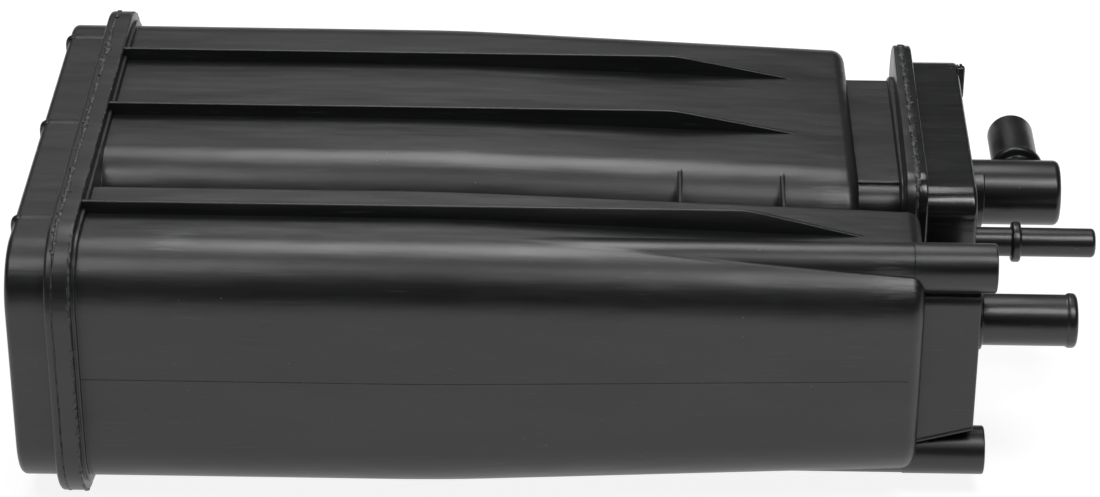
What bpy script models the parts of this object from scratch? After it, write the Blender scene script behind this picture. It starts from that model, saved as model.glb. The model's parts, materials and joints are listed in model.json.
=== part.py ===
# Charcoal canister: a moulded two-lobe housing with a welded end cover and a welded port cover,
# two carbon beds held by sprung perforated plates, felts and grids, and brass inserts in the bosses.
# Metres, +Z up. X runs from the end cover to the ports, Y from the narrow lobe to the wide one.
# The origin is under the middle of the whole object, on the surface it lies on.

import math

import bpy
import bmesh
from mathutils import Vector

MM = 0.001

# Fits between separate pieces
CLEARANCE = 0.3 * MM
WELD_GAP = 0.3 * MM
ROOT_OVERLAP = 1.9 * MM

# Small edges
PLATE_CHAMFER = 0.6 * MM
MOUTH_CHAMFER = 1.0 * MM
BOX_CHAMFER = 1.2 * MM
BEAD_RAMP = 0.3 * MM
INSERT_CHAMFER = 0.5 * MM
LEAST_BEND = 0.4 * MM

# Section of the housing, across its length
FLANGE_WIDTH = 184.0 * MM
FLANGE_HEIGHT = 94.9 * MM
FLANGE_RADIUS = 23.0 * MM
LIP = 5.3 * MM
WALL = 2.6 * MM
NEAR_WIDTH = 49.7 * MM
VALLEY = 8.5 * MM
VALLEY_RADIUS = 3.0 * MM

# Stations along the housing, each counted from the one before it
END_RIB_PROUD = 1.2 * MM
COVER_DEPTH = 12.8 * MM
COVER_PLATE = 2.4 * MM
BODY_PLATE = 5.4 * MM
COLLAR_LENGTH = 1.4 * MM
COLLAR_PROUD = 2.2 * MM
STRAIGHT_LENGTH = 110.0 * MM
NEAR_TAPER_LENGTH = 148.8 * MM
FAR_TAPER_LENGTH = 131.3 * MM
NEAR_END_SKEW = 1.5 * MM
FAR_END_SKEW = -1.2 * MM
LOBE_END_RADIUS = 4.2 * MM
COVER_END_RADIUS = 2.5 * MM

# Slopes of the tapered stretch, as rise over run
NEAR_TOP_SLOPE = 0.034
FAR_TOP_SLOPE = 0.031
BOTTOM_SLOPE = 0.022
FRONT_SLOPE = 0.040
BACK_SLOPE = 0.023

# Ribs on the top and the underside
RIB_THICKNESS = 1.4 * MM
RIB_DROP = 1.6 * MM
RIB_ROOT = 1.0 * MM
RIB_KNEE_REACH = 14.0 * MM
RIB_KNEE_STEPS = 4
NEAR_RIB_INSET = 37.6 * MM
NEAR_RIB_FLAT = 203.8 * MM
NEAR_RIB_LENGTH = 241.8 * MM
FAR_RIB_INSETS = (43.4 * MM, 81.8 * MM)
FAR_RIB_FLATS = (177.0 * MM, 184.5 * MM)
FAR_RIB_LENGTHS = (223.5 * MM, 223.3 * MM)
COVER_RIB_FRONT_INSET = 34.4 * MM
COVER_RIB_BACK_INSETS = (88.0 * MM, 27.6 * MM)
COVER_RIB_THICKNESS = 2.4 * MM
COVER_RIB_RISE = 0.5 * MM

# Webs that tie the two lobes across the valley
WEB_THICKNESS = 1.4 * MM
WEB_STATIONS = (185.2 * MM, 217.9 * MM)
WEB_NEAR_DROP = 0.4 * MM
WEB_FAR_DROP = 1.0 * MM
WEB_FOOT_RISE = 2.6 * MM
WEB_ROOT = 1.6 * MM

# Far lobe's neck, the port flange and the port cover
NECK_LENGTH = 15.2 * MM
NECK_WIDTH = 83.0 * MM
NECK_HEIGHT = 57.8 * MM
NECK_RADIUS = 8.0 * MM
NECK_PAD_RISE = 1.2 * MM
NECK_PAD_FRONT_INSET = 7.7 * MM
NECK_PAD_BACK_INSET = 4.3 * MM
NECK_COLLAR_RISE = 3.0 * MM
NECK_COLLAR_LENGTH = 1.6 * MM
PORT_FLANGE_WIDTH = 117.0 * MM
PORT_FLANGE_HEIGHT = 78.9 * MM
PORT_FLANGE_RADIUS = 17.0 * MM
PORT_PLATE = 3.1 * MM
PORT_PLATE_TOE = 0.7 * MM
PORT_LIP = 6.0 * MM
PORT_COVER_DEPTH = 16.2 * MM
PORT_DIVIDER_THICKNESS = 2.0 * MM
CHAMBER_CORNER_RADIUS = 1.0 * MM
CORNER_RIB_HEIGHT = 9.0 * MM
CORNER_RIB_PROUD = 2.2 * MM
CORNER_RIB_THICKNESS = 2.6 * MM

# Ports on the port cover
TANK_PORT_OUTER = 21.5 * MM
TANK_PORT_BORE = 16.5 * MM
TANK_PORT_LENGTH = 30.8 * MM
TANK_PORT_FROM_FRONT = 50.6 * MM
TANK_PORT_ABOVE_MIDDLE = 12.4 * MM
PURGE_PORT_OUTER = 9.49 * MM
PURGE_PORT_BORE = 6.6 * MM
PURGE_PORT_LENGTH = 40.4 * MM
PURGE_PORT_FROM_FRONT = 24.6 * MM
PURGE_PORT_ABOVE_MIDDLE = 8.5 * MM
PURGE_BEAD_OUTER = 12.6 * MM
PURGE_BEAD_LENGTH = 2.8 * MM
PURGE_BEAD_FROM_BASE = 13.2 * MM
BRANCH_OUTER = 14.3 * MM
BRANCH_BORE = 10.3 * MM
BRANCH_COLLAR_OUTER = 18.0 * MM
BRANCH_COLLAR_LENGTH = 2.4 * MM
BRANCH_NECK_OUTER = 11.6 * MM
BRANCH_COLLAR_RAMP = 1.4 * MM
BRANCH_REACH = 39.5 * MM
BRANCH_COLLAR_REACH = 13.6 * MM
BRANCH_FROM_COVER = 18.2 * MM
PORT_PAD_PROUD = 0.6 * MM
PORT_PAD_LENGTH = 2.9 * MM
PORT_PAD_FROM = math.radians(122.0)
PORT_PAD_TO = math.radians(302.0)

# Near lobe's neck, hose nipple and mounting bosses
NEAR_NECK_LENGTH = 17.2 * MM
NEAR_NECK_INSET = 4.8 * MM
NEAR_NECK_TOP_DROP = 6.4 * MM
NEAR_NECK_BOTTOM_RISE = 13.3 * MM
NEAR_NECK_BOTTOM_SLANT = 7.1 * MM
NEAR_NECK_RADIUS = 4.0 * MM
HOSE_OUTER = 16.2 * MM
HOSE_BEAD_OUTER = 17.2 * MM
HOSE_BEAD_LENGTH = 3.4 * MM
HOSE_BORE = 12.2 * MM
HOSE_LENGTH = 32.0 * MM
HOSE_ABOVE_MIDDLE = 10.9 * MM
HOSE_BEAD_RAMP = 0.6 * MM
HOSE_BASE_OUTER = 19.0 * MM
HOSE_BASE_LENGTH = 2.0 * MM
HOSE_SPIGOT_OUTER = 15.0 * MM
HOSE_SPIGOT_LENGTH = 2.4 * MM
BOSS_OUTER = 15.5 * MM
BOSS_FROM_FRONT = 21.0 * MM
BOSS_DROP = 0.9 * MM
BOSS_PAST_LOBE = 22.4 * MM
INSERT_OUTER = 9.0 * MM
INSERT_BORE = 5.2 * MM
INSERT_LENGTH = 12.0 * MM

# Stack inside each lobe
PLATE_FROM_FLANGE = 15.6 * MM
PLATE_THICKNESS = 2.5 * MM
PLATE_RIM_HEIGHT = 6.0 * MM
PLATE_RIM_WALL = 1.8 * MM
FELT_THICKNESS = 4.0 * MM
GRID_THICKNESS = 3.0 * MM
GRID_BORDER = 6.0 * MM
GRID_SLOT = 8.0 * MM
GRID_BAR = 2.4 * MM
HOLE_DIAMETER = 6.0 * MM
HOLE_PITCH = 13.3 * MM
HOLE_MARGIN = 5.0 * MM
PORT_FELT_THICKNESS = 5.0 * MM

# Springs between the end cover and the plates
SPRING_OUTER = 22.0 * MM
SPRING_WIRE = 1.8 * MM
SPRING_TURNS = 5
SPRING_POINTS_PER_TURN = 9
SPRING_END_PITCH = 2.0 * MM
SPRING_PEG_OUTER = 15.5 * MM
SPRING_PEG_HEIGHT = 5.0 * MM
FAR_SPRING_FROM_WALL = 28.8 * MM
NEAR_SPRING_FROM_WALL = 21.1 * MM

# Smoothness of round forms
CORNER_STEPS = 7
SMALL_CORNER_STEPS = 3
TUBE_SIDES = 32
SMALL_TUBE_SIDES = 24
HOLE_SIDES = 8
SHARP_ANGLE = math.radians(35.0)

# Places worked out from the sizes above
BASE_LENGTH = END_RIB_PROUD + COVER_DEPTH + COVER_PLATE + WELD_GAP + BODY_PLATE
FAR_LOBE_LENGTH = COLLAR_LENGTH + STRAIGHT_LENGTH + FAR_TAPER_LENGTH
PORT_BOX_LENGTH = NECK_LENGTH + 2.0 * PORT_PLATE + WELD_GAP + PORT_COVER_DEPTH
X_MIN = -(BASE_LENGTH + FAR_LOBE_LENGTH + PORT_BOX_LENGTH + PURGE_PORT_LENGTH) / 2.0
X_COVER_END = X_MIN + END_RIB_PROUD
X_COVER_FLANGE = X_COVER_END + COVER_DEPTH
X_WELD = X_COVER_FLANGE + COVER_PLATE
X_BODY_PLATE = X_WELD + WELD_GAP
X_FLANGE = X_BODY_PLATE + BODY_PLATE
X_BODY = X_FLANGE + COLLAR_LENGTH
X_KINK = X_BODY + STRAIGHT_LENGTH
X_NEAR_END = X_KINK + NEAR_TAPER_LENGTH
X_FAR_END = X_KINK + FAR_TAPER_LENGTH
X_PORT_FLANGE = X_FAR_END + NECK_LENGTH
X_PORT_WELD = X_PORT_FLANGE + PORT_PLATE
X_PORT_COVER = X_PORT_WELD + WELD_GAP
X_PORT_BOX = X_PORT_COVER + PORT_PLATE
X_PORT_END = X_PORT_BOX + PORT_COVER_DEPTH
X_NEAR_NECK_END = X_NEAR_END + NEAR_NECK_LENGTH
X_BOSS_END = X_NEAR_END + BOSS_PAST_LOBE
X_PLATE = X_BODY_PLATE + PLATE_FROM_FLANGE
X_NEAR_FLOOR = X_NEAR_END + min(NEAR_END_SKEW, 0.0) - WALL
X_FAR_FLOOR = X_FAR_END + min(FAR_END_SKEW, 0.0) - WALL

FRONT = -FLANGE_WIDTH / 2.0
BACK = FLANGE_WIDTH / 2.0
MIDDLE = FLANGE_HEIGHT / 2.0
NEAR_FRONT = FRONT + LIP
NEAR_BACK = NEAR_FRONT + NEAR_WIDTH
FAR_FRONT = NEAR_BACK + VALLEY
FAR_BACK = BACK - LIP
BOTTOM = LIP
TOP = FLANGE_HEIGHT - LIP
BODY_RADIUS = FLANGE_RADIUS - LIP
NEAR_RADII = (BODY_RADIUS, VALLEY_RADIUS, VALLEY_RADIUS, BODY_RADIUS)
FAR_RADII = (BODY_RADIUS, BODY_RADIUS, BODY_RADIUS, BODY_RADIUS)

BLACK_NYLON = ("black moulded nylon", (0.055, 0.056, 0.058, 1.0), 0.42, 0.0)
CARBON = ("activated carbon", (0.012, 0.012, 0.013, 1.0), 0.9, 0.0)
FELT = ("polyester felt", (0.62, 0.61, 0.57, 1.0), 0.95, 0.0)
NATURAL_NYLON = ("natural nylon", (0.50, 0.48, 0.43, 1.0), 0.5, 0.0)
SPRING_STEEL = ("spring steel", (0.42, 0.42, 0.43, 1.0), 0.3, 1.0)
BRASS = ("brass", (0.60, 0.42, 0.16, 1.0), 0.3, 1.0)


def clear_scene():
    for item in list(bpy.data.objects):
        bpy.data.objects.remove(item, do_unlink=True)


def make_collection(name):
    collection = bpy.data.collections.new(name)
    bpy.context.scene.collection.children.link(collection)
    return collection


def make_material(look):
    name, colour, roughness, metallic = look
    material = bpy.data.materials.get(name)
    if material is not None:
        return material
    material = bpy.data.materials.new(name)
    material.use_nodes = True
    shader = material.node_tree.nodes["Principled BSDF"]
    shader.inputs["Base Color"].default_value = colour
    shader.inputs["Roughness"].default_value = roughness
    shader.inputs["Metallic"].default_value = metallic
    material.diffuse_color = colour
    return material


def make_object(name, mesh, collection):
    mesh.shade_smooth()
    mesh.set_sharp_from_angle(angle=SHARP_ANGLE)
    item = bpy.data.objects.new(name, mesh)
    collection.objects.link(item)
    return item


def mesh_from(bm, name):
    bmesh.ops.recalc_face_normals(bm, faces=bm.faces)
    mesh = bpy.data.meshes.new(name)
    bm.to_mesh(mesh)
    bm.free()
    return mesh


# Points (y, z) of a rounded rectangle, corner by corner: front low, back low, back high, front high.
def section(sides, radii, inset=0.0, steps=CORNER_STEPS):
    front, back, low, high = sides
    front, back, low, high = front + inset, back - inset, low + inset, high - inset
    corners = ((front, low, 180.0), (back, low, 270.0), (back, high, 0.0), (front, high, 90.0))
    points = []
    for (y, z, start), radius in zip(corners, radii):
        bend = max(radius - inset, LEAST_BEND)
        centre_y = y + bend if y == front else y - bend
        centre_z = z + bend if z == low else z - bend
        for step in range(steps + 1):
            angle = math.radians(start + 90.0 * step / steps)
            points.append((centre_y + bend * math.cos(angle), centre_z + bend * math.sin(angle)))
    return points


# A closed solid through sections of equal point count, each given as (x, points).
def loft(name, stations, collection):
    bm = bmesh.new()
    rings = [[bm.verts.new((x, y, z)) for y, z in points] for x, points in stations]
    for ring, following in zip(rings, rings[1:]):
        for index in range(len(ring)):
            after = (index + 1) % len(ring)
            bm.faces.new((ring[index], ring[after], following[after], following[index]))
    bm.faces.new(rings[0])
    bm.faces.new(list(reversed(rings[-1])))
    return make_object(name, mesh_from(bm, name), collection)


# Slides one end of a solid along X, more the further each point lies across from y_from.
def skew_end(item, x_from, x_to, y_from, y_to, amount):
    for vertex in item.data.vertices:
        along = max(0.0, (vertex.co.x - x_from) / (x_to - x_from))
        across = (vertex.co.y - y_from) / (y_to - y_from)
        vertex.co.x += amount * along * across


# A rounded plate across X with its outer edges broken by a small chamfer.
def rounded_plate(name, x_from, x_to, sides, radii, collection, chamfer=0.0, steps=CORNER_STEPS):
    stations = [(x_from, section(sides, radii, chamfer, steps))]
    if chamfer > 0.0:
        stations.append((x_from + chamfer, section(sides, radii, 0.0, steps)))
        stations.append((x_to - chamfer, section(sides, radii, 0.0, steps)))
    stations.append((x_to, section(sides, radii, chamfer, steps)))
    return loft(name, stations, collection)


# A flat outline in the XZ plane given depth along Y.
def upright_plate(name, outline, y_from, y_to, collection):
    bm = bmesh.new()
    face = bm.faces.new([bm.verts.new((x, y_from, z)) for x, z in outline])
    grown = bmesh.ops.extrude_face_region(bm, geom=[face])
    moved = [item for item in grown["geom"] if isinstance(item, bmesh.types.BMVert)]
    bmesh.ops.translate(bm, verts=moved, vec=(0.0, y_to - y_from, 0.0))
    return make_object(name, mesh_from(bm, name), collection)


# A flat outline in the YZ plane given length along X.
def cross_plate(name, outline, x_from, x_to, collection):
    return loft(name, [(x_from, outline), (x_to, outline)], collection)


def box(name, low, high, collection):
    bm = bmesh.new()
    bmesh.ops.create_cube(bm, size=1.0)
    size = Vector(high) - Vector(low)
    middle = (Vector(high) + Vector(low)) / 2.0
    bmesh.ops.scale(bm, vec=size, verts=bm.verts)
    bmesh.ops.translate(bm, vec=middle, verts=bm.verts)
    return make_object(name, mesh_from(bm, name), collection)


# A turned solid: profile points (distance along the axis, radius), closed on the axis by a screw.
def turned(name, start, direction, profile, collection, sides=TUBE_SIDES):
    mesh = bpy.data.meshes.new(name)
    closed = [(profile[0][0], 0.0)] + list(profile) + [(profile[-1][0], 0.0)]
    points = [(radius, 0.0, -along) for along, radius in closed]
    edges = [(index, index + 1) for index in range(len(points) - 1)]
    mesh.from_pydata(points, edges, [])
    item = bpy.data.objects.new(name, mesh)
    collection.objects.link(item)
    screw = item.modifiers.new("turn", "SCREW")
    screw.axis = "Z"
    screw.steps = sides
    screw.render_steps = sides
    screw.use_merge_vertices = True
    screw.merge_threshold = 0.00001
    screw.use_smooth_shade = True
    item.location = start
    item.rotation_mode = "QUATERNION"
    item.rotation_quaternion = Vector((0.0, 0.0, -1.0)).rotation_difference(Vector(direction))
    return item


def rod(name, start, direction, length, diameter, collection, sides=TUBE_SIDES):
    bm = bmesh.new()
    radius = diameter / 2.0
    bmesh.ops.create_cone(bm, cap_ends=True, segments=sides, radius1=radius, radius2=radius, depth=length)
    item = make_object(name, mesh_from(bm, name), collection)
    item.location = Vector(start) + Vector(direction) * length / 2.0
    item.rotation_mode = "QUATERNION"
    item.rotation_quaternion = Vector((0.0, 0.0, 1.0)).rotation_difference(Vector(direction))
    return item


# A group of cutters that all act on one item in a single step.
def tool_group(item, operation, tools):
    group = bpy.data.collections.new(f"{item.name}_{operation.lower()}_{len(item.modifiers) + 1}")
    tools.children.link(group)
    change = item.modifiers.new(group.name, "BOOLEAN")
    change.operation = operation
    change.solver = "EXACT"
    change.operand_type = "COLLECTION"
    change.collection = group
    return group


def hide_tools(tools):
    for tool in tools.all_objects:
        tool.hide_render = True
        tool.display_type = "WIRE"


def finish(item, look):
    item.data.materials.append(make_material(look))
    return item


# Outer faces of each lobe at a station, as front, back, low and high.
def near_sides(x):
    run = max(0.0, x - X_KINK)
    front = NEAR_FRONT + run * FRONT_SLOPE
    return (front, NEAR_BACK, BOTTOM + run * BOTTOM_SLOPE, TOP - run * NEAR_TOP_SLOPE)


def far_sides(x):
    run = max(0.0, x - X_KINK)
    back = FAR_BACK - run * BACK_SLOPE
    return (FAR_FRONT, back, BOTTOM + run * BOTTOM_SLOPE, TOP - run * FAR_TOP_SLOPE)


# A lobe from x_from to x_to, drawn in by inset all round, with its far end edge rounded.
def lobe(name, sides_at, radii, x_from, x_to, inset, end_radius, collection):
    stations = [(x_from, section(sides_at(x_from), radii, inset))]
    if x_from < X_KINK < x_to:
        stations.append((X_KINK, section(sides_at(X_KINK), radii, inset)))
    for step in range(SMALL_CORNER_STEPS + 1):
        angle = math.radians(90.0 * step / SMALL_CORNER_STEPS)
        x = x_to - end_radius * (1.0 - math.sin(angle))
        stations.append((x, section(sides_at(x), radii, inset + end_radius * (1.0 - math.cos(angle)))))
        if end_radius == 0.0:
            break
    return loft(name, stations, collection)


def flange_sides():
    return (FRONT, BACK, 0.0, FLANGE_HEIGHT)


def port_centre():
    front, back, low, high = far_sides(X_FAR_END)
    return (front + back) / 2.0


def port_sides(drawn_in):
    half_width = PORT_FLANGE_WIDTH / 2.0 - drawn_in
    half_height = PORT_FLANGE_HEIGHT / 2.0 - drawn_in
    centre = port_centre()
    return (centre - half_width, centre + half_width, MIDDLE - half_height, MIDDLE + half_height)


def neck_sides(grow=0.0):
    centre = port_centre()
    half_width = NECK_WIDTH / 2.0 + grow
    half_height = NECK_HEIGHT / 2.0 + grow
    return (centre - half_width, centre + half_width, MIDDLE - half_height, MIDDLE + half_height)


def equal_radii(radius):
    return (radius, radius, radius, radius)


# A rib that runs level from the flange, then slopes into the tapered wall; the lower one is its mirror.
def housing_rib(name, sides_at, y, flat, length, upper, collection):
    x_knee = X_FLANGE + flat
    x_end = X_FLANGE + length
    level = FLANGE_HEIGHT - RIB_DROP

    def wall(x):
        front, back, low, high = sides_at(x)
        return high if upper else FLANGE_HEIGHT - low

    root = X_FLANGE - ROOT_OVERLAP
    fall = (level - wall(x_end)) / (x_end - x_knee)
    outline = [(root, level)]
    for step in range(RIB_KNEE_STEPS + 1):
        share = step / RIB_KNEE_STEPS
        along = (2.0 * share - 1.0) * RIB_KNEE_REACH
        outline.append((x_knee + along, level - fall * RIB_KNEE_REACH * share * share))
    outline += [(x_end, wall(x_end)), (x_end, wall(x_end) - RIB_ROOT), (X_KINK, wall(X_KINK) - RIB_ROOT)]
    outline += [(root, wall(root) - RIB_ROOT)]
    if not upper:
        outline = [(x, FLANGE_HEIGHT - z) for x, z in outline]
    half = RIB_THICKNESS / 2.0
    return upright_plate(name, outline, y - half, y + half, collection)


def add_ribs(added):
    rows = [(near_sides, FRONT + NEAR_RIB_INSET, NEAR_RIB_FLAT, NEAR_RIB_LENGTH)]
    for inset, flat, length in zip(FAR_RIB_INSETS, FAR_RIB_FLATS, FAR_RIB_LENGTHS):
        rows.append((far_sides, BACK - inset, flat, length))
    for number, (sides_at, y, flat, length) in enumerate(rows, start=1):
        for side, upper in (("top", True), ("bottom", False)):
            name = f"{side}_rib_{number}"
            housing_rib(name, sides_at, y, flat, length, upper, added)


def add_webs(added):
    for number, station in enumerate(WEB_STATIONS, start=1):
        x = X_FLANGE + station
        half = WEB_THICKNESS / 2.0
        near_y = NEAR_BACK - WEB_ROOT
        far_y = FAR_FRONT + BODY_RADIUS
        foot = near_sides(x)[2] + WEB_FOOT_RISE
        outline = [(near_y, foot), (far_y, foot), (far_y, far_sides(x)[3] - WEB_FAR_DROP)]
        outline.append((near_y, near_sides(x)[3] - WEB_NEAR_DROP))
        cross_plate(f"valley_web_{number}", outline, x - half, x + half, added)


def boss_places():
    y = NEAR_FRONT + BOSS_FROM_FRONT
    depth = BOSS_DROP + BOSS_OUTER / 2.0
    return (("upper", y, TOP - depth), ("lower", y, BOTTOM + depth))


def add_bosses(added):
    start = X_KINK - BOSS_OUTER
    for name, y, z in boss_places():
        rod(f"{name}_boss", (start, y, z), (1, 0, 0), X_BOSS_END - start, BOSS_OUTER, added)


def near_neck_centre():
    front, back = near_sides(X_NEAR_END)[:2]
    return (front + back) / 2.0


def near_neck_sides(x, inset=0.0):
    front, back, low, high = near_sides(X_NEAR_END)
    share = max(0.0, min(1.0, (x - X_NEAR_END) / NEAR_NECK_LENGTH))
    foot = low + NEAR_NECK_BOTTOM_RISE + share * NEAR_NECK_BOTTOM_SLANT
    sides = (front + NEAR_NECK_INSET, back - NEAR_NECK_INSET, foot, high - NEAR_NECK_TOP_DROP)
    return (sides[0] + inset, sides[1] - inset, sides[2] + inset, sides[3] - inset)


def add_near_neck(added):
    radii = equal_radii(NEAR_NECK_RADIUS)
    root = X_NEAR_END - LOBE_END_RADIUS
    stations = [(x, section(near_neck_sides(x), radii, 0.0, SMALL_CORNER_STEPS))
                for x in (root, X_NEAR_END, X_NEAR_NECK_END)]
    loft("near_neck", stations, added)


def hose_nipple_place():
    return near_neck_centre(), MIDDLE + HOSE_ABOVE_MIDDLE


# The hose nipple is welded to the neck: a spigot in the neck's wall, a base ring, the tube and its bead.
def build_hose_nipple(parts, tools):
    y, z = hose_nipple_place()
    tube = HOSE_OUTER / 2.0
    bead = HOSE_BEAD_OUTER / 2.0
    base = HOSE_BASE_OUTER / 2.0
    spigot = HOSE_SPIGOT_OUTER / 2.0
    start = X_NEAR_NECK_END + WELD_GAP - HOSE_SPIGOT_LENGTH
    tip = X_NEAR_NECK_END + HOSE_LENGTH - start
    bead_from = tip - HOSE_BEAD_LENGTH
    base_to = HOSE_SPIGOT_LENGTH + HOSE_BASE_LENGTH
    profile = [(0.0, spigot), (HOSE_SPIGOT_LENGTH, spigot), (HOSE_SPIGOT_LENGTH, base), (base_to, base)]
    profile += [(base_to, tube), (bead_from, tube), (bead_from + HOSE_BEAD_RAMP, bead)]
    profile += [(tip - MOUTH_CHAMFER, bead), (tip, bead - MOUTH_CHAMFER)]
    nipple = turned("hose_nipple", (start, y, z), (1, 0, 0), profile, parts)
    cuts = tool_group(nipple, "DIFFERENCE", tools)
    rod("hose_bore", (start - WALL, y, z), (1, 0, 0), tip + 2.0 * WALL, HOSE_BORE, cuts)
    return finish(nipple, BLACK_NYLON)


def add_far_neck(added):
    root = X_FAR_END + FAR_END_SKEW - LOBE_END_RADIUS
    face = X_PORT_FLANGE + PORT_PLATE / 2.0
    radii = equal_radii(NECK_RADIUS)
    rounded_plate("far_neck", root, face, neck_sides(), radii, added, 0.0, SMALL_CORNER_STEPS)
    collar_from = X_PORT_FLANGE - NECK_COLLAR_LENGTH
    grown = neck_sides(NECK_COLLAR_RISE)
    collar_radii = equal_radii(NECK_RADIUS + NECK_COLLAR_RISE)
    rounded_plate("neck_collar", collar_from, face, grown, collar_radii, added, 0.0, SMALL_CORNER_STEPS)
    front, back, low, high = neck_sides()
    pad_low = (root, front + NECK_PAD_FRONT_INSET, low - NECK_PAD_RISE)
    pad_high = (face, back - NECK_PAD_BACK_INSET, high + NECK_PAD_RISE)
    box("neck_pad", pad_low, pad_high, added)
    sides = port_sides(0.0)
    flange = rounded_plate("port_flange", X_PORT_FLANGE, X_PORT_WELD, sides,
                           equal_radii(PORT_FLANGE_RADIUS), added, PLATE_CHAMFER)
    skew_end(flange, X_PORT_WELD, X_PORT_FLANGE, port_centre(), sides[1], PORT_PLATE_TOE)


def cut_cavities(cuts):
    mouth = X_BODY_PLATE - WALL
    lobe("near_cavity", near_sides, NEAR_RADII, mouth, X_NEAR_FLOOR, WALL, 0.0, cuts)
    lobe("far_cavity", far_sides, FAR_RADII, mouth, X_FAR_FLOOR, WALL, 0.0, cuts)
    radii = equal_radii(NECK_RADIUS - WALL)
    rounded_plate("neck_cavity", X_FAR_FLOOR - WALL, X_PORT_WELD + WALL, neck_sides(-WALL), radii, cuts,
                  0.0, SMALL_CORNER_STEPS)
    nipple_y, nipple_z = hose_nipple_place()
    chamber_radii = equal_radii(NEAR_NECK_RADIUS - WALL / 2.0)
    chamber_end = X_NEAR_NECK_END - WALL
    chamber_foot = near_neck_sides(X_NEAR_NECK_END, WALL)[2]
    chamber_top = nipple_z + HOSE_OUTER / 2.0
    chamber_front, chamber_back = near_neck_sides(X_NEAR_END, WALL)[:2]
    chamber = (chamber_front, chamber_back, chamber_foot, chamber_top)
    rounded_plate("near_neck_cavity", X_NEAR_FLOOR - WALL, chamber_end, chamber, chamber_radii, cuts,
                  0.0, SMALL_CORNER_STEPS)
    seat = HOSE_SPIGOT_OUTER + 2.0 * CLEARANCE
    rod("nipple_seat", (chamber_end - WALL, nipple_y, nipple_z), (1, 0, 0), 3.0 * WALL, seat, cuts)
    for name, y, z in boss_places():
        depth = INSERT_LENGTH + CLEARANCE
        start = (X_BOSS_END - depth, y, z)
        seat = INSERT_OUTER + 2.0 * CLEARANCE
        rod(f"{name}_insert_seat", start, (1, 0, 0), depth + WALL, seat, cuts, SMALL_TUBE_SIDES)


def build_housing(parts, tools):
    housing = rounded_plate("main_housing", X_BODY_PLATE, X_FLANGE, flange_sides(),
                            equal_radii(FLANGE_RADIUS), parts, PLATE_CHAMFER)
    grown = (NEAR_FRONT - COLLAR_PROUD, FAR_BACK + COLLAR_PROUD, BOTTOM - COLLAR_PROUD, TOP + COLLAR_PROUD)
    collar_radii = equal_radii(BODY_RADIUS + COLLAR_PROUD)
    added = tool_group(housing, "UNION", tools)
    root = X_FLANGE - ROOT_OVERLAP
    rounded_plate("body_collar", root, X_BODY, grown, collar_radii, added)
    near = lobe("near_lobe", near_sides, NEAR_RADII, root, X_NEAR_END, 0.0, LOBE_END_RADIUS, added)
    skew_end(near, X_KINK, X_NEAR_END, NEAR_FRONT, NEAR_BACK, NEAR_END_SKEW)
    far = lobe("far_lobe", far_sides, FAR_RADII, root, X_FAR_END, 0.0, LOBE_END_RADIUS, added)
    skew_end(far, X_KINK, X_FAR_END, FAR_FRONT, FAR_BACK, FAR_END_SKEW)
    add_ribs(added)
    add_webs(added)
    add_bosses(added)
    add_near_neck(added)
    add_far_neck(added)
    cut_cavities(tool_group(housing, "DIFFERENCE", tools))
    return finish(housing, BLACK_NYLON)


def spring_places():
    near_middle = (NEAR_FRONT + NEAR_BACK) / 2.0
    return (("main_plate_spring_1", FAR_FRONT + FAR_SPRING_FROM_WALL, MIDDLE),
            ("main_plate_spring_2", FAR_BACK - FAR_SPRING_FROM_WALL, MIDDLE),
            ("vent_plate_spring_1", near_middle, BOTTOM + NEAR_SPRING_FROM_WALL),
            ("vent_plate_spring_2", near_middle, TOP - NEAR_SPRING_FROM_WALL))


def build_end_cover(parts, tools):
    cover = rounded_plate("end_cover", X_COVER_FLANGE, X_WELD, flange_sides(), equal_radii(FLANGE_RADIUS),
                          parts, PLATE_CHAMFER)
    sides = (NEAR_FRONT, FAR_BACK, BOTTOM, TOP)
    radii = equal_radii(BODY_RADIUS)
    added = tool_group(cover, "UNION", tools)
    stations = []
    for step in range(SMALL_CORNER_STEPS + 1):
        angle = math.radians(90.0 * step / SMALL_CORNER_STEPS)
        drawn = COVER_END_RADIUS * (1.0 - math.sin(angle))
        x = X_COVER_END + COVER_END_RADIUS * (1.0 - math.cos(angle))
        stations.append((x, section(sides, radii, drawn)))
    stations.append((X_COVER_FLANGE + COVER_PLATE / 2.0, section(sides, radii)))
    loft("cover_dome", stations, added)
    rib_places = [FRONT + COVER_RIB_FRONT_INSET] + [BACK - inset for inset in COVER_RIB_BACK_INSETS]
    for number, y in enumerate(rib_places, start=1):
        half = COVER_RIB_THICKNESS / 2.0
        low = (X_MIN, y - half, BOTTOM + BODY_RADIUS / 2.0)
        high = (X_COVER_END + WALL / 2.0, y + half, TOP - COVER_END_RADIUS)
        box(f"end_rib_{number}", low, high, added)
        low = (X_COVER_END + COVER_END_RADIUS, y - half, BOTTOM - COVER_RIB_RISE)
        high = (X_COVER_FLANGE + COVER_PLATE / 2.0, y + half, TOP + COVER_RIB_RISE)
        box(f"cover_rib_{number}", low, high, added)
    inner = section(sides, radii, WALL)
    cuts = tool_group(cover, "DIFFERENCE", tools)
    pegs = tool_group(cover, "UNION", tools)
    loft("cover_cavity", [(X_COVER_END + WALL, inner), (X_WELD + WALL, inner)], cuts)
    for name, y, z in spring_places():
        rod(f"{name}_cover_peg", (X_COVER_END + WALL / 2.0, y, z), (1, 0, 0),
            WALL / 2.0 + SPRING_PEG_HEIGHT, SPRING_PEG_OUTER, pegs, SMALL_TUBE_SIDES)
    return finish(cover, BLACK_NYLON)


def tank_port_place():
    front = port_sides(0.0)[0]
    return front + TANK_PORT_FROM_FRONT, MIDDLE + TANK_PORT_ABOVE_MIDDLE


def purge_port_place():
    front = port_sides(0.0)[0]
    return front + PURGE_PORT_FROM_FRONT, MIDDLE + PURGE_PORT_ABOVE_MIDDLE


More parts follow.
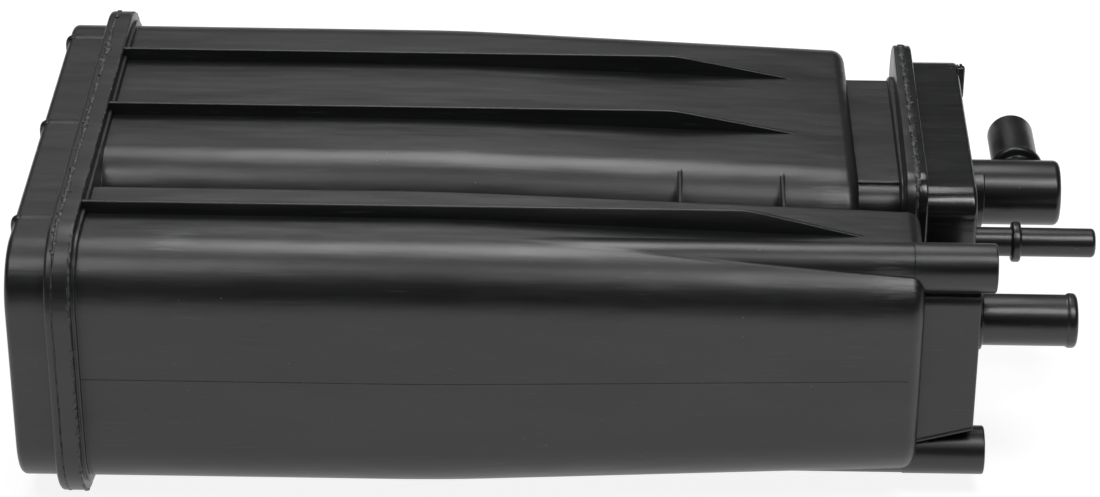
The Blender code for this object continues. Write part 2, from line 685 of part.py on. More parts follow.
def divider_place():
    tank_edge = tank_port_place()[0] - TANK_PORT_BORE / 2.0
    return (tank_edge + purge_port_place()[0] + PURGE_PORT_BORE / 2.0) / 2.0


# The two chambers of the port cover, parted by its divider: name, sides and corner radii.
def port_chambers(drawn_in, half_gap):
    front, back, low, high = port_sides(PORT_LIP + drawn_in)
    radius = PORT_FLANGE_RADIUS - PORT_LIP - drawn_in
    divider = divider_place()
    small = CHAMBER_CORNER_RADIUS
    return (("purge_port", (front, divider - half_gap, low, high), (radius, small, small, radius)),
            ("tank_port", (divider + half_gap, back, low, high), (small, radius, radius, small)))


# The pad round the near side of the tank port's foot, as a sector of a disc across X.
def add_port_pad(added):
    y, z = tank_port_place()
    radius = TANK_PORT_OUTER / 2.0 + PORT_PAD_PROUD
    outline = [(y, z)]
    steps = TUBE_SIDES // 2
    for step in range(steps + 1):
        angle = PORT_PAD_FROM + (PORT_PAD_TO - PORT_PAD_FROM) * step / steps
        outline.append((y + radius * math.cos(angle), z + radius * math.sin(angle)))
    cross_plate("tank_port_pad", outline, X_PORT_END - WALL / 2.0, X_PORT_END + PORT_PAD_LENGTH, added)


def add_ports(added):
    start = X_PORT_END - WALL / 2.0
    tank_y, tank_z = tank_port_place()
    reach = TANK_PORT_LENGTH + WALL / 2.0
    outer = TANK_PORT_OUTER / 2.0
    profile = [(0.0, outer), (reach - MOUTH_CHAMFER, outer), (reach, outer - MOUTH_CHAMFER)]
    turned("tank_port", (start, tank_y, tank_z), (1, 0, 0), profile, added)
    purge_y, purge_z = purge_port_place()
    reach = PURGE_PORT_LENGTH + WALL / 2.0
    outer = PURGE_PORT_OUTER / 2.0
    bead = PURGE_BEAD_OUTER / 2.0
    bead_from = PURGE_BEAD_FROM_BASE + WALL / 2.0
    bead_to = bead_from + PURGE_BEAD_LENGTH
    profile = [(0.0, outer), (bead_from, outer), (bead_from + BEAD_RAMP, bead), (bead_to - BEAD_RAMP, bead)]
    profile += [(bead_to, outer), (reach - MOUTH_CHAMFER, outer), (reach, outer - MOUTH_CHAMFER)]
    turned("purge_port", (start, purge_y, purge_z), (1, 0, 0), profile, added, SMALL_TUBE_SIDES)
    add_port_pad(added)
    branch_x = X_PORT_END + BRANCH_FROM_COVER
    neck = BRANCH_NECK_OUTER / 2.0
    collar = BRANCH_COLLAR_OUTER / 2.0
    tube = BRANCH_OUTER / 2.0
    collar_from = BRANCH_COLLAR_REACH
    collar_to = collar_from + BRANCH_COLLAR_LENGTH
    profile = [(0.0, neck), (collar_from, neck), (collar_from, collar), (collar_to, collar)]
    profile += [(collar_to + BRANCH_COLLAR_RAMP, tube), (BRANCH_REACH - MOUTH_CHAMFER, tube)]
    profile.append((BRANCH_REACH, tube - MOUTH_CHAMFER))
    turned("branch_port", (branch_x, tank_y, tank_z), (0, 1, 0), profile, added, SMALL_TUBE_SIDES)


def cut_ports(cuts):
    start = X_PORT_END - 2.0 * WALL
    tank_y, tank_z = tank_port_place()
    length = TANK_PORT_LENGTH + 3.0 * WALL
    rod("tank_bore", (start, tank_y, tank_z), (1, 0, 0), length, TANK_PORT_BORE, cuts)
    purge_y, purge_z = purge_port_place()
    length = PURGE_PORT_LENGTH + 3.0 * WALL
    rod("purge_bore", (start, purge_y, purge_z), (1, 0, 0), length, PURGE_PORT_BORE, cuts,
        SMALL_TUBE_SIDES)
    branch_x = X_PORT_END + BRANCH_FROM_COVER
    length = BRANCH_REACH + WALL
    neck_bore = BRANCH_NECK_OUTER - 2.0 * WALL
    rod("branch_neck_bore", (branch_x, tank_y, tank_z), (0, 1, 0), length, neck_bore, cuts,
        SMALL_TUBE_SIDES)
    bore_from = BRANCH_COLLAR_REACH + WALL
    rod("branch_bore", (branch_x, tank_y + bore_from, tank_z), (0, 1, 0), length, BRANCH_BORE, cuts,
        SMALL_TUBE_SIDES)


def build_port_cover(parts, tools):
    cover = rounded_plate("port_cover", X_PORT_COVER, X_PORT_BOX, port_sides(0.0),
                          equal_radii(PORT_FLANGE_RADIUS), parts, PLATE_CHAMFER)
    radii = equal_radii(PORT_FLANGE_RADIUS - PORT_LIP)
    sides = port_sides(PORT_LIP)
    root = X_PORT_BOX - PORT_PLATE / 2.0
    added = tool_group(cover, "UNION", tools)
    cuts = tool_group(cover, "DIFFERENCE", tools)
    stations = [(root, section(sides, radii)), (X_PORT_END - BOX_CHAMFER, section(sides, radii)),
                (X_PORT_END, section(sides, radii, BOX_CHAMFER))]
    loft("port_box", stations, added)
    back, high = sides[1], sides[3]
    rib_y = back - PORT_FLANGE_RADIUS + PORT_LIP
    half = CORNER_RIB_THICKNESS / 2.0
    rib_low = (X_PORT_END - WALL / 2.0, rib_y - half, high - CORNER_RIB_HEIGHT)
    rib_high = (X_PORT_END + CORNER_RIB_PROUD, rib_y + half, high)
    box("corner_rib", rib_low, rib_high, added)
    add_ports(added)
    for name, chamber, chamber_radii in port_chambers(WALL, PORT_DIVIDER_THICKNESS / 2.0):
        inner = section(chamber, chamber_radii)
        loft(f"{name}_cavity", [(X_PORT_COVER - WALL, inner), (X_PORT_END - WALL, inner)], cuts)
    cut_ports(cuts)
    return finish(cover, BLACK_NYLON)


# Section of what fits inside a lobe at a station, with the clearance to its wall.
def inner_section(sides_at, radii, x, inset=0.0):
    return section(sides_at(x), radii, WALL + CLEARANCE + inset)


def lobe_filling(name, sides_at, radii, x_from, x_to, look, parts):
    stations = [(x_from, inner_section(sides_at, radii, x_from))]
    if x_from < X_KINK < x_to:
        stations.append((X_KINK, inner_section(sides_at, radii, X_KINK)))
    stations.append((x_to, inner_section(sides_at, radii, x_to)))
    return finish(loft(name, stations, parts), look)


# Centres of a square pattern of holes that stays inside the given sides.
def hole_pattern(sides, margin, pitch):
    front, back, low, high = sides
    width = back - front - 2.0 * margin
    height = high - low - 2.0 * margin
    columns = max(1, int(width / pitch) + 1)
    rows = max(1, int(height / pitch) + 1)
    centre_y = (front + back) / 2.0
    centre_z = (low + high) / 2.0
    for column in range(columns):
        for row in range(rows):
            corner = column in (0, columns - 1) and row in (0, rows - 1)
            if not corner:
                yield (centre_y + (column - (columns - 1) / 2.0) * pitch,
                       centre_z + (row - (rows - 1) / 2.0) * pitch)


def many_rods(name, x_from, x_to, centres, diameter, collection):
    bm = bmesh.new()
    for y, z in centres:
        made = bmesh.ops.create_cone(bm, cap_ends=True, segments=HOLE_SIDES, radius1=diameter / 2.0,
                                     radius2=diameter / 2.0, depth=x_to - x_from)
        bmesh.ops.rotate(bm, verts=made["verts"], cent=(0, 0, 0),
                         matrix=Vector((0, 0, 1)).rotation_difference(Vector((1, 0, 0))).to_matrix())
        bmesh.ops.translate(bm, verts=made["verts"], vec=((x_from + x_to) / 2.0, y, z))
    return make_object(name, mesh_from(bm, name), collection)


def many_boxes(name, x_from, x_to, spans, collection):
    bm = bmesh.new()
    for (y_from, y_to), (z_from, z_to) in spans:
        made = bmesh.ops.create_cube(bm, size=1.0)
        size = (x_to - x_from, y_to - y_from, z_to - z_from)
        middle = ((x_to + x_from) / 2.0, (y_to + y_from) / 2.0, (z_to + z_from) / 2.0)
        bmesh.ops.scale(bm, vec=size, verts=made["verts"])
        bmesh.ops.translate(bm, vec=middle, verts=made["verts"])
    return make_object(name, mesh_from(bm, name), collection)


def build_retainer_plate(name, sides_at, radii, springs, parts, tools):
    back = X_PLATE + PLATE_THICKNESS
    outline = inner_section(sides_at, radii, X_PLATE)
    front = back - PLATE_RIM_HEIGHT
    plate = loft(name, [(front, outline), (back, outline)], parts)
    inner = inner_section(sides_at, radii, X_PLATE, PLATE_RIM_WALL)
    cuts = tool_group(plate, "DIFFERENCE", tools)
    pegs = tool_group(plate, "UNION", tools)
    loft(f"{name}_pocket", [(front - WALL, inner), (X_PLATE, inner)], cuts)
    centres = []
    from_peg = (SPRING_PEG_OUTER + HOLE_DIAMETER) / 2.0 + CLEARANCE
    for y, z in hole_pattern(sides_at(X_PLATE), WALL + PLATE_RIM_WALL + HOLE_MARGIN, HOLE_PITCH):
        if all(math.hypot(y - peg_y, z - peg_z) > from_peg for label, peg_y, peg_z in springs):
            centres.append((y, z))
    many_rods(f"{name}_holes", X_PLATE - WALL, back + WALL, centres, HOLE_DIAMETER, cuts)
    for label, y, z in springs:
        rod(f"{label}_plate_peg", (X_PLATE + PLATE_THICKNESS / 2.0, y, z), (-1, 0, 0),
            PLATE_THICKNESS / 2.0 + SPRING_PEG_HEIGHT, SPRING_PEG_OUTER, pegs, SMALL_TUBE_SIDES)
    return finish(plate, NATURAL_NYLON)


def build_grid(name, sides_at, radii, x_from, parts, tools):
    x_to = x_from + GRID_THICKNESS
    stations = [(x, inner_section(sides_at, radii, x)) for x in (x_from, x_to)]
    grid = loft(name, stations, parts)
    front, back, low, high = sides_at(x_to)
    margin = WALL + CLEARANCE + GRID_BORDER
    columns = spread(front + margin, back - margin)
    rows = spread(low + margin, high - margin)
    spans = [(column, row) for column in columns for row in rows]
    many_boxes(f"{name}_slots", x_from - WALL, x_to + WALL, spans, tool_group(grid, "DIFFERENCE", tools))
    return finish(grid, NATURAL_NYLON)


# Even slots about GRID_SLOT wide between two limits, parted by bars.
def spread(low, high):
    count = max(1, round((high - low + GRID_BAR) / (2.0 * GRID_SLOT + GRID_BAR)))
    width = (high - low - (count - 1) * GRID_BAR) / count
    starts = [low + index * (width + GRID_BAR) for index in range(count)]
    return [(start, start + width) for start in starts]


def build_stack(prefix, sides_at, radii, floor, springs, parts, tools):
    build_retainer_plate(f"{prefix}_retainer_plate", sides_at, radii, springs, parts, tools)
    felt_from = X_PLATE + PLATE_THICKNESS + CLEARANCE
    felt_to = felt_from + FELT_THICKNESS
    grid_to = floor - CLEARANCE
    grid_from = grid_to - GRID_THICKNESS
    port_felt_to = grid_from - CLEARANCE
    port_felt_from = port_felt_to - FELT_THICKNESS
    lobe_filling(f"{prefix}_cover_felt", sides_at, radii, felt_from, felt_to, FELT, parts)
    lobe_filling(f"{prefix}_carbon_bed", sides_at, radii, felt_to + CLEARANCE, port_felt_from - CLEARANCE,
                 CARBON, parts)
    lobe_filling(f"{prefix}_port_felt", sides_at, radii, port_felt_from, port_felt_to, FELT, parts)
    build_grid(f"{prefix}_port_grid", sides_at, radii, grid_from, parts, tools)


# A compression spring whose end turns lie flat against the cover and the plate.
def build_spring(name, y, z, parts):
    wire = SPRING_WIRE / 2.0
    x_from = X_COVER_END + WALL + CLEARANCE + wire
    x_to = X_PLATE - CLEARANCE - wire
    coil = (SPRING_OUTER - SPRING_WIRE) / 2.0
    open_rise = (x_to - x_from - 2.0 * SPRING_END_PITCH) / (SPRING_TURNS - 2.0)
    curve = bpy.data.curves.new(name, "CURVE")
    curve.dimensions = "3D"
    curve.bevel_depth = wire
    curve.bevel_resolution = 2
    curve.use_fill_caps = True
    spline = curve.splines.new("POLY")
    count = SPRING_TURNS * SPRING_POINTS_PER_TURN + 1
    spline.points.add(count - 1)
    for index in range(count):
        turn = index / SPRING_POINTS_PER_TURN
        first = min(turn, 1.0) * SPRING_END_PITCH
        middle = max(0.0, min(turn, SPRING_TURNS - 1.0) - 1.0) * open_rise
        last = max(0.0, turn - (SPRING_TURNS - 1.0)) * SPRING_END_PITCH
        angle = 2.0 * math.pi * turn
        x = x_from + first + middle + last
        spline.points[index].co = (x, y + coil * math.cos(angle), z + coil * math.sin(angle), 1.0)
    item = bpy.data.objects.new(name, curve)
    parts.objects.link(item)
    return finish(item, SPRING_STEEL)


def build_insert(name, y, z, parts, tools):
    half = INSERT_OUTER / 2.0
    profile = [(0.0, half - INSERT_CHAMFER), (INSERT_CHAMFER, half), (INSERT_LENGTH, half)]
    insert = turned(name, (X_BOSS_END - INSERT_LENGTH, y, z), (1, 0, 0), profile, parts, SMALL_TUBE_SIDES)
    bore_from = (X_BOSS_END - INSERT_LENGTH - WALL, y, z)
    cuts = tool_group(insert, "DIFFERENCE", tools)
    rod(f"{name}_bore", bore_from, (1, 0, 0), INSERT_LENGTH + 2.0 * WALL, INSERT_BORE, cuts,
        SMALL_TUBE_SIDES)
    return finish(insert, BRASS)


def build_port_felts(parts):
    x_to = X_PORT_END - WALL - CLEARANCE
    x_from = x_to - PORT_FELT_THICKNESS
    for name, sides, radii in port_chambers(WALL + CLEARANCE, PORT_DIVIDER_THICKNESS / 2.0 + CLEARANCE):
        finish(rounded_plate(f"{name}_felt", x_from, x_to, sides, radii, parts), FELT)


def main():
    clear_scene()
    parts = make_collection("charcoal_canister")
    tools = make_collection("cutters")
    build_housing(parts, tools)
    build_end_cover(parts, tools)
    build_port_cover(parts, tools)
    build_hose_nipple(parts, tools)
    springs = spring_places()
    main_springs = [place for place in springs if place[0].startswith("main")]
    vent_springs = [place for place in springs if place[0].startswith("vent")]
    build_stack("main", far_sides, FAR_RADII, X_FAR_FLOOR, main_springs, parts, tools)
    build_stack("vent", near_sides, NEAR_RADII, X_NEAR_FLOOR, vent_springs, parts, tools)
    for name, y, z in springs:
        build_spring(name, y, z, parts)
    build_port_felts(parts)
    for name, y, z in boss_places():
        build_insert(f"{name}_boss_insert", y, z, parts, tools)
    hide_tools(tools)


main()
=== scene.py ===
import json
import math
import random

import bpy
import bmesh
from mathutils import Matrix, Vector, noise


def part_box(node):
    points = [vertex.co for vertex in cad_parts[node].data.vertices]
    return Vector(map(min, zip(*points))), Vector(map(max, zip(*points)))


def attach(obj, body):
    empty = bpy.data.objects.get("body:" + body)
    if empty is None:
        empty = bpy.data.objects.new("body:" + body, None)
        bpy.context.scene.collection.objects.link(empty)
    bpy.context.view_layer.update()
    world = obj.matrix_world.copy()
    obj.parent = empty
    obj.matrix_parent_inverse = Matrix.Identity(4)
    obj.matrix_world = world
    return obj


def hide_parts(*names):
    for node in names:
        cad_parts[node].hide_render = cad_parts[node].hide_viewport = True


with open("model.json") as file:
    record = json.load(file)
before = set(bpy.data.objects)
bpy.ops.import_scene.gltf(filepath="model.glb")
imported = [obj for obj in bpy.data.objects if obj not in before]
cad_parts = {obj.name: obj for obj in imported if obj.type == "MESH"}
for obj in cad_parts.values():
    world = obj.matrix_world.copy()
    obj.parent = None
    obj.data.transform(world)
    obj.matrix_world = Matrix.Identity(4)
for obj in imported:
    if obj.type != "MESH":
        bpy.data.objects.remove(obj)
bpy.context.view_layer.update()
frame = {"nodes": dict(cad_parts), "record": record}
mm = 0.001
scene = bpy.context.scene
scene.view_settings.view_transform = "Standard"
print("frame loaded:", len(frame["nodes"]), "nodes")


def linear(hexColor):
    # sRGB hex to the linear values that Blender's sockets take
    values = [int(hexColor[i:i + 2], 16) / 255 for i in (1, 3, 5)]
    return tuple(v / 12.92 if v <= 0.04045 else ((v + 0.055) / 1.055) ** 2.4 for v in values) + (1.0,)


def addNode(tree, kind, settings=None, inputs=None, links=None):
    # one node with its settings, socket values and incoming links
    node = tree.nodes.new(kind)
    for key, value in (settings or {}).items():
        setattr(node, key, value)
    for key, value in (inputs or {}).items():
        node.inputs[key].default_value = value
    for key, source in (links or {}).items():
        tree.links.new(source, node.inputs[key])
    return node


def newMaterial(name):
    material = bpy.data.materials.new(name)
    material.use_nodes = True
    tree = material.node_tree
    tree.nodes.clear()
    return material, tree


# camera where the photo was taken from: 30 degrees above, just right of the middle, a little turned
viewPoint = {
    "place": (0.01695, -1.0206, 0.6463),
    "elevation": 30.4,
    "turn": 0.85,
    "lens": 117.82,
    "sensor": 36,
    "shiftX": -0.0636,
    "clip": (0.05, 20),
}


def addCamera():
    tilt = math.radians(viewPoint["elevation"])
    turn = math.radians(viewPoint["turn"])
    right = Vector((1, 0, 0))
    up = Vector((0, math.sin(tilt), math.cos(tilt)))
    back = Vector((0, -math.cos(tilt), math.sin(tilt)))
    camX = math.cos(turn) * right + math.sin(turn) * up
    camY = -math.sin(turn) * right + math.cos(turn) * up
    lens = bpy.data.cameras.new("photoCamera")
    lens.lens = viewPoint["lens"]
    lens.sensor_width = viewPoint["sensor"]
    lens.shift_x = viewPoint["shiftX"]
    lens.clip_start, lens.clip_end = viewPoint["clip"]
    camera = bpy.data.objects.new("photoCamera", lens)
    scene.collection.objects.link(camera)
    placed = Matrix((camX, camY, back)).transposed().to_4x4()
    placed.translation = Vector(viewPoint["place"])
    camera.matrix_world = placed
    scene.camera = camera


addCamera()
print("camera placed")

# a pale sheet to lie on, soft boxes high up at the back and over both front corners, in a dim room
studio = {
    "floor": 6.0,
    "floorColor": "#8e8e8e",
    "floorLift": 0.88,
    "frontRoom": 0.024,
    "backRoom": 0.09,
    "roomDepth": (-0.5, 0.8),
    "white": (1, 1, 1, 1),
    "softBoxes": {
        "topBox": {"size": (0.50, 0.62), "place": (-0.03, 0.55, 1.05), "watts": 5.8},
        "backBox": {"size": (1.0, 0.6), "place": (-0.40, 1.30, 0.85), "watts": 0.5},
        "leftBox": {"size": (0.27, 0.42), "place": (-0.435, -0.33, 1.02), "watts": 3.1},
        "rightBox": {"size": (0.26, 0.44), "place": (0.37, -0.41, 1.00), "watts": 4.1},
    },
    "aim": (0.0, 0.0, 0.05),
}


def addFloor():
    bm = bmesh.new()
    bmesh.ops.create_grid(bm, x_segments=2, y_segments=2, size=studio["floor"] / 2)
    mesh = bpy.data.meshes.new("floor")
    bm.to_mesh(mesh)
    bm.free()
    floor = bpy.data.objects.new("floor", mesh)
    scene.collection.objects.link(floor)
    material, tree = newMaterial("paperSweep")
    path = addNode(tree, "ShaderNodeLightPath")
    mirrored = addNode(tree, "ShaderNodeMath", {"operation": "MAXIMUM"},
                       links={0: path.outputs["Is Glossy Ray"], 1: path.outputs["Is Transmission Ray"]})
    seen = addNode(tree, "ShaderNodeMath", {"operation": "MAXIMUM"},
                   links={0: path.outputs["Is Camera Ray"], 1: mirrored.outputs[0]})
    lift = addNode(tree, "ShaderNodeMath", {"operation": "MULTIPLY"}, {1: studio["floorLift"]},
                   links={0: seen.outputs[0]})
    paper = addNode(tree, "ShaderNodeBsdfDiffuse", inputs={"Color": linear(studio["floorColor"])})
    glow = addNode(tree, "ShaderNodeEmission", inputs={"Color": studio["white"]},
                   links={"Strength": lift.outputs[0]})
    both = addNode(tree, "ShaderNodeAddShader", links={0: paper.outputs[0], 1: glow.outputs[0]})
    addNode(tree, "ShaderNodeOutputMaterial", links={"Surface": both.outputs[0]})
    mesh.materials.append(material)


def addSoftBox(name, box):
    light = bpy.data.lights.new(name, "AREA")
    light.shape = "RECTANGLE"
    light.size, light.size_y = box["size"]
    light.energy = box["watts"]
    lamp = bpy.data.objects.new(name, light)
    scene.collection.objects.link(lamp)
    lamp.location = box["place"]
    lamp.rotation_mode = "QUATERNION"
    lamp.rotation_quaternion = (Vector(studio["aim"]) - Vector(box["place"])).to_track_quat("-Z", "Y")


def addWorld():
    # white where the camera looks straight at it; to the object it is dim, brighter behind than in front
    world = bpy.data.worlds.new("studioRoom")
    scene.world = world
    world.use_nodes = True
    tree = world.node_tree
    tree.nodes.clear()
    path = addNode(tree, "ShaderNodeLightPath")
    aim = addNode(tree, "ShaderNodeTexCoord")
    split = addNode(tree, "ShaderNodeSeparateXYZ", links={0: aim.outputs["Generated"]})
    nearest, farthest = studio["roomDepth"]
    depth = addNode(tree, "ShaderNodeMapRange", inputs={"From Min": nearest, "From Max": farthest,
                                                        "To Min": studio["frontRoom"],
                                                        "To Max": studio["backRoom"]},
                    links={"Value": split.outputs["Y"]})
    room = addNode(tree, "ShaderNodeBackground", inputs={"Color": studio["white"]},
                   links={"Strength": depth.outputs["Result"]})
    white = addNode(tree, "ShaderNodeBackground", inputs={"Color": studio["white"], "Strength": 1.0})
    mix = addNode(tree, "ShaderNodeMixShader",
                  links={0: path.outputs["Is Camera Ray"], 1: room.outputs[0], 2: white.outputs[0]})
    addNode(tree, "ShaderNodeOutputWorld", links={"Surface": mix.outputs[0]})


addFloor()
addWorld()
for boxName, softBox in studio["softBoxes"].items():
    addSoftBox(boxName, softBox)
print("studio ready")

# finishes, each from the real material
nylonIndex = 1.53
nylonLook = {
    "color": "#131415",
    "paleColor": "#1b1c1d",
    "paleRange": (0.3, 0.7),
    "roughSpread": 0.10,
    "roughRange": (0.5, 1.1),
    "gloss": 0.6,
    "edge": 0.5,           # mm, the rounding that every edge shows
    "dragLength": 40.0,    # mm, flow streaks along the moulding
    "dragWidth": 1.7,      # mm
    "dragDepth": 0.08,     # mm
    "dragBump": 0.6,
    "dragShare": 0.55,     # of the streaks in the roughness, beside the waves
    "sinkLength": 46.0,    # mm, slow waves of an uneven wall
    "sinkWidth": 15.0,     # mm
    "sinkDepth": 0.55,     # mm
    "grain": 0.9,          # mm, fine grain of the mould
    "grainDepth": 0.012,   # mm
    "grainBump": 0.3,
    # pale colour of the rubbed streaks, which also paints the highlight patches below
    "scuffAndHighlightColor": "#5c5d5e",
    "scuffLength": 14.0,   # mm, rubbed streaks from handling
    "scuffWidth": 0.9,     # mm
    "scuffAndHighlightRange": (0.61, 0.80),
    "scuffAndHighlightMost": 0.5,
    "dustColor": "#8a8a88",
    "speckGap": 7.0,       # mm between dust specks
    "speckRange": (0.030, 0.018),
    "highlightPatchLift": 0.25,
    "paintedHighlightPatches": (     # mm, place and reach of the painted highlight patches on the corners that catch the light
        ((84, -22, 81), 9.0),
        ((101, -75, 81), 13.0),
        ((-120, -70, 88), 13.0),
    ),
}


def addSpace(tree, scaleMm, stretch=(1, 1, 1)):
    # object coordinates in units of scaleMm, drawn out along an axis by stretch
    place = addNode(tree, "ShaderNodeTexCoord")
    factor = [1 / (scaleMm * mm * s) for s in stretch]
    return addNode(tree, "ShaderNodeMapping", inputs={"Scale": factor}, links={"Vector": place.outputs["Object"]})


def blackNylon(name, roughness):
    # injection moulded nylon 6: near black, satin, with a faint drag along the mould and slow sink waves, rubbed
    # streaks, and pale patches of painted highlight
    look = nylonLook
    material, tree = newMaterial(name)
    along = addSpace(tree, look["dragWidth"], (look["dragLength"] / look["dragWidth"], 1, 1))
    drag = addNode(tree, "ShaderNodeTexNoise", inputs={"Scale": 1.0, "Detail": 4.0, "Roughness": 0.6},
                   links={"Vector": along.outputs[0]})
    patches = addSpace(tree, look["sinkWidth"], (look["sinkLength"] / look["sinkWidth"], 1, 1))
    sink = addNode(tree, "ShaderNodeTexNoise", inputs={"Scale": 1.0, "Detail": 2.0, "Roughness": 0.5},
                   links={"Vector": patches.outputs[0]})
    grit = addSpace(tree, look["grain"])
    fine = addNode(tree, "ShaderNodeTexNoise", inputs={"Scale": 1.0, "Detail": 3.0, "Roughness": 0.7},
                   links={"Vector": grit.outputs[0]})
    rubbed = addSpace(tree, look["scuffWidth"], (look["scuffLength"] / look["scuffWidth"], 1, 1))
    scuffs = addNode(tree, "ShaderNodeTexNoise", inputs={"Scale": 1.0, "Detail": 5.0, "Roughness": 0.65},
                     links={"Vector": rubbed.outputs[0]})
    place = addNode(tree, "ShaderNodeTexCoord")
    worn = scuffs.outputs["Fac"]
    # painted highlight: pale patches added to the scuff noise where the lobes' corners catch the light
    for centre, reach in look["paintedHighlightPatches"]:
        away = addNode(tree, "ShaderNodeVectorMath", {"operation": "DISTANCE"}, {1: [c * mm for c in centre]},
                       {0: place.outputs["Object"]})
        near = addNode(tree, "ShaderNodeMapRange", {"interpolation_type": "SMOOTHSTEP"},
                       {"From Min": reach * mm, "From Max": 0.0, "To Max": look["highlightPatchLift"]},
                       {"Value": away.outputs["Value"]})
        worn = addNode(tree, "ShaderNodeMath", {"operation": "ADD"},
                       links={0: worn, 1: near.outputs["Result"]}).outputs[0]
    least, most = look["scuffAndHighlightRange"]
    scuffAndHighlightMask = addNode(tree, "ShaderNodeMapRange",
                        inputs={"From Min": least, "From Max": most, "To Max": look["scuffAndHighlightMost"]},
                        links={"Value": worn})
    dust = addSpace(tree, look["speckGap"])
    specks = addNode(tree, "ShaderNodeTexVoronoi", {"feature": "F1"}, {"Scale": 1.0, "Randomness": 1.0},
                     links={"Vector": dust.outputs[0]})
    rim, middle = look["speckRange"]
    speckMask = addNode(tree, "ShaderNodeMapRange", inputs={"From Min": rim, "From Max": middle},
                        links={"Value": specks.outputs["Distance"]})
    least, most = look["paleRange"]
    shade = addNode(tree, "ShaderNodeMapRange", inputs={"From Min": least, "From Max": most},
                    links={"Value": drag.outputs["Fac"]})
    tone = addNode(tree, "ShaderNodeMix", {"data_type": "RGBA"},
                   {6: linear(look["color"]), 7: linear(look["paleColor"])}, {0: shade.outputs["Result"]})
    scuffedAndHighlighted = addNode(tree, "ShaderNodeMix", {"data_type": "RGBA"}, {7: linear(look["scuffAndHighlightColor"])},
                      {0: scuffAndHighlightMask.outputs["Result"], 6: tone.outputs[2]})
    dusty = addNode(tree, "ShaderNodeMix", {"data_type": "RGBA"}, {7: linear(look["dustColor"])},
                    {0: speckMask.outputs["Result"], 6: scuffedAndHighlighted.outputs[2]})
    blend = addNode(tree, "ShaderNodeMath", {"operation": "MULTIPLY_ADD"}, {1: look["dragShare"]},
                    {0: drag.outputs["Fac"], 2: sink.outputs["Fac"]})
    least, most = look["roughRange"]
    rough = addNode(tree, "ShaderNodeMapRange", inputs={"From Min": least, "From Max": most,
                                                        "To Min": roughness - look["roughSpread"] / 2,
                                                        "To Max": roughness + look["roughSpread"] / 2},
                    links={"Value": blend.outputs[0]})
    soft = addNode(tree, "ShaderNodeBevel", {"samples": 4}, {"Radius": look["edge"] * mm})
    waves = addNode(tree, "ShaderNodeBump", inputs={"Strength": 1.0, "Distance": look["sinkDepth"] * mm},
                    links={"Height": sink.outputs["Fac"], "Normal": soft.outputs[0]})
    streaks = addNode(tree, "ShaderNodeBump",
                      inputs={"Strength": look["dragBump"], "Distance": look["dragDepth"] * mm},
                      links={"Height": drag.outputs["Fac"], "Normal": waves.outputs[0]})
    skin = addNode(tree, "ShaderNodeBump",
                   inputs={"Strength": look["grainBump"], "Distance": look["grainDepth"] * mm},
                   links={"Height": fine.outputs["Fac"], "Normal": streaks.outputs[0]})
    shader = addNode(tree, "ShaderNodeBsdfPrincipled", inputs={"IOR": nylonIndex, "Specular IOR Level": look["gloss"]},
                     links={"Base Color": dusty.outputs[2], "Roughness": rough.outputs["Result"],
                            "Normal": skin.outputs[0]})
    addNode(tree, "ShaderNodeOutputMaterial", links={"Surface": shader.outputs[0]})
    return material


# the other finishes: colours at both ends of the pattern, its size and depth in mm
weldLook = {"colors": ("#242526", "#6a6b6c"), "shader": {"Roughness": 0.45, "IOR": nylonIndex}, "size": 1.1,
            "depth": 0.25, "bump": 0.8, "tornRange": (0.48, 0.72)}
# carbon colours run from a pellet's middle to painted shade in the gaps between pellets
carbonLook = {"colors": ("#2b2b2c", "#0d0d0e"), "shader": {"Roughness": 0.85}, "size": 2.0, "depth": 0.8, "bump": 1.0}
feltLook = {"colors": ("#c1beb2", "#e2dfd6"), "shader": {"Roughness": 0.95}, "size": 0.6, "stretch": (1, 3, 1),
            "depth": 0.3, "bump": 0.9}
creamLook = {"colors": ("#b7b1a1", "#cdc8b9"), "shader": {"Roughness": 0.45, "IOR": nylonIndex}, "size": 9.0,
             "depth": 0.1, "bump": 0.2}
metalLooks = {
    "drawnSpringSteel": {"colors": ("#8f9092", "#b4b5b7"), "shader": {"Metallic": 1.0}, "size": 0.4,
                         "stretch": (1, 6, 6), "depth": 0.02, "bump": 0.3, "roughRange": (0.22, 0.40)},
    "turnedBrass": {"colors": ("#b08a43", "#d0aa62"), "shader": {"Metallic": 1.0}, "size": 0.25,
                    "stretch": (1, 6, 6), "depth": 0.02, "bump": 0.3, "roughRange": (0.20, 0.38)},
}


def addSkin(tree, look, tint, height, hollow=False, links=None):
    # colour, relief and shader over one pattern; a hollow one sinks where the pattern rises
    first, last = look["colors"]
    tone = addNode(tree, "ShaderNodeMix", {"data_type": "RGBA"}, {6: linear(first), 7: linear(last)}, {0: tint})
    bump = addNode(tree, "ShaderNodeBump", {"invert": hollow},
                   {"Strength": look["bump"], "Distance": look["depth"] * mm}, {"Height": height})
    shader = addNode(tree, "ShaderNodeBsdfPrincipled", inputs=look["shader"],
                     links={"Base Color": tone.outputs[2], "Normal": bump.outputs[0], **(links or {})})
    addNode(tree, "ShaderNodeOutputMaterial", links={"Surface": shader.outputs[0]})


def weldedNylon():
    # the same nylon melted and squeezed out of the weld: rougher, paler where it tore
    material, tree = newMaterial("weldedNylonFlash")
    lumps = addSpace(tree, weldLook["size"])
    torn = addNode(tree, "ShaderNodeTexNoise", inputs={"Scale": 1.0, "Detail": 4.0, "Roughness": 0.7},
                   links={"Vector": lumps.outputs[0]})
    least, most = weldLook["tornRange"]
    pale = addNode(tree, "ShaderNodeMapRange", inputs={"From Min": least, "From Max": most},
                   links={"Value": torn.outputs["Fac"]})
    addSkin(tree, weldLook, pale.outputs["Result"], torn.outputs["Fac"])
    return material


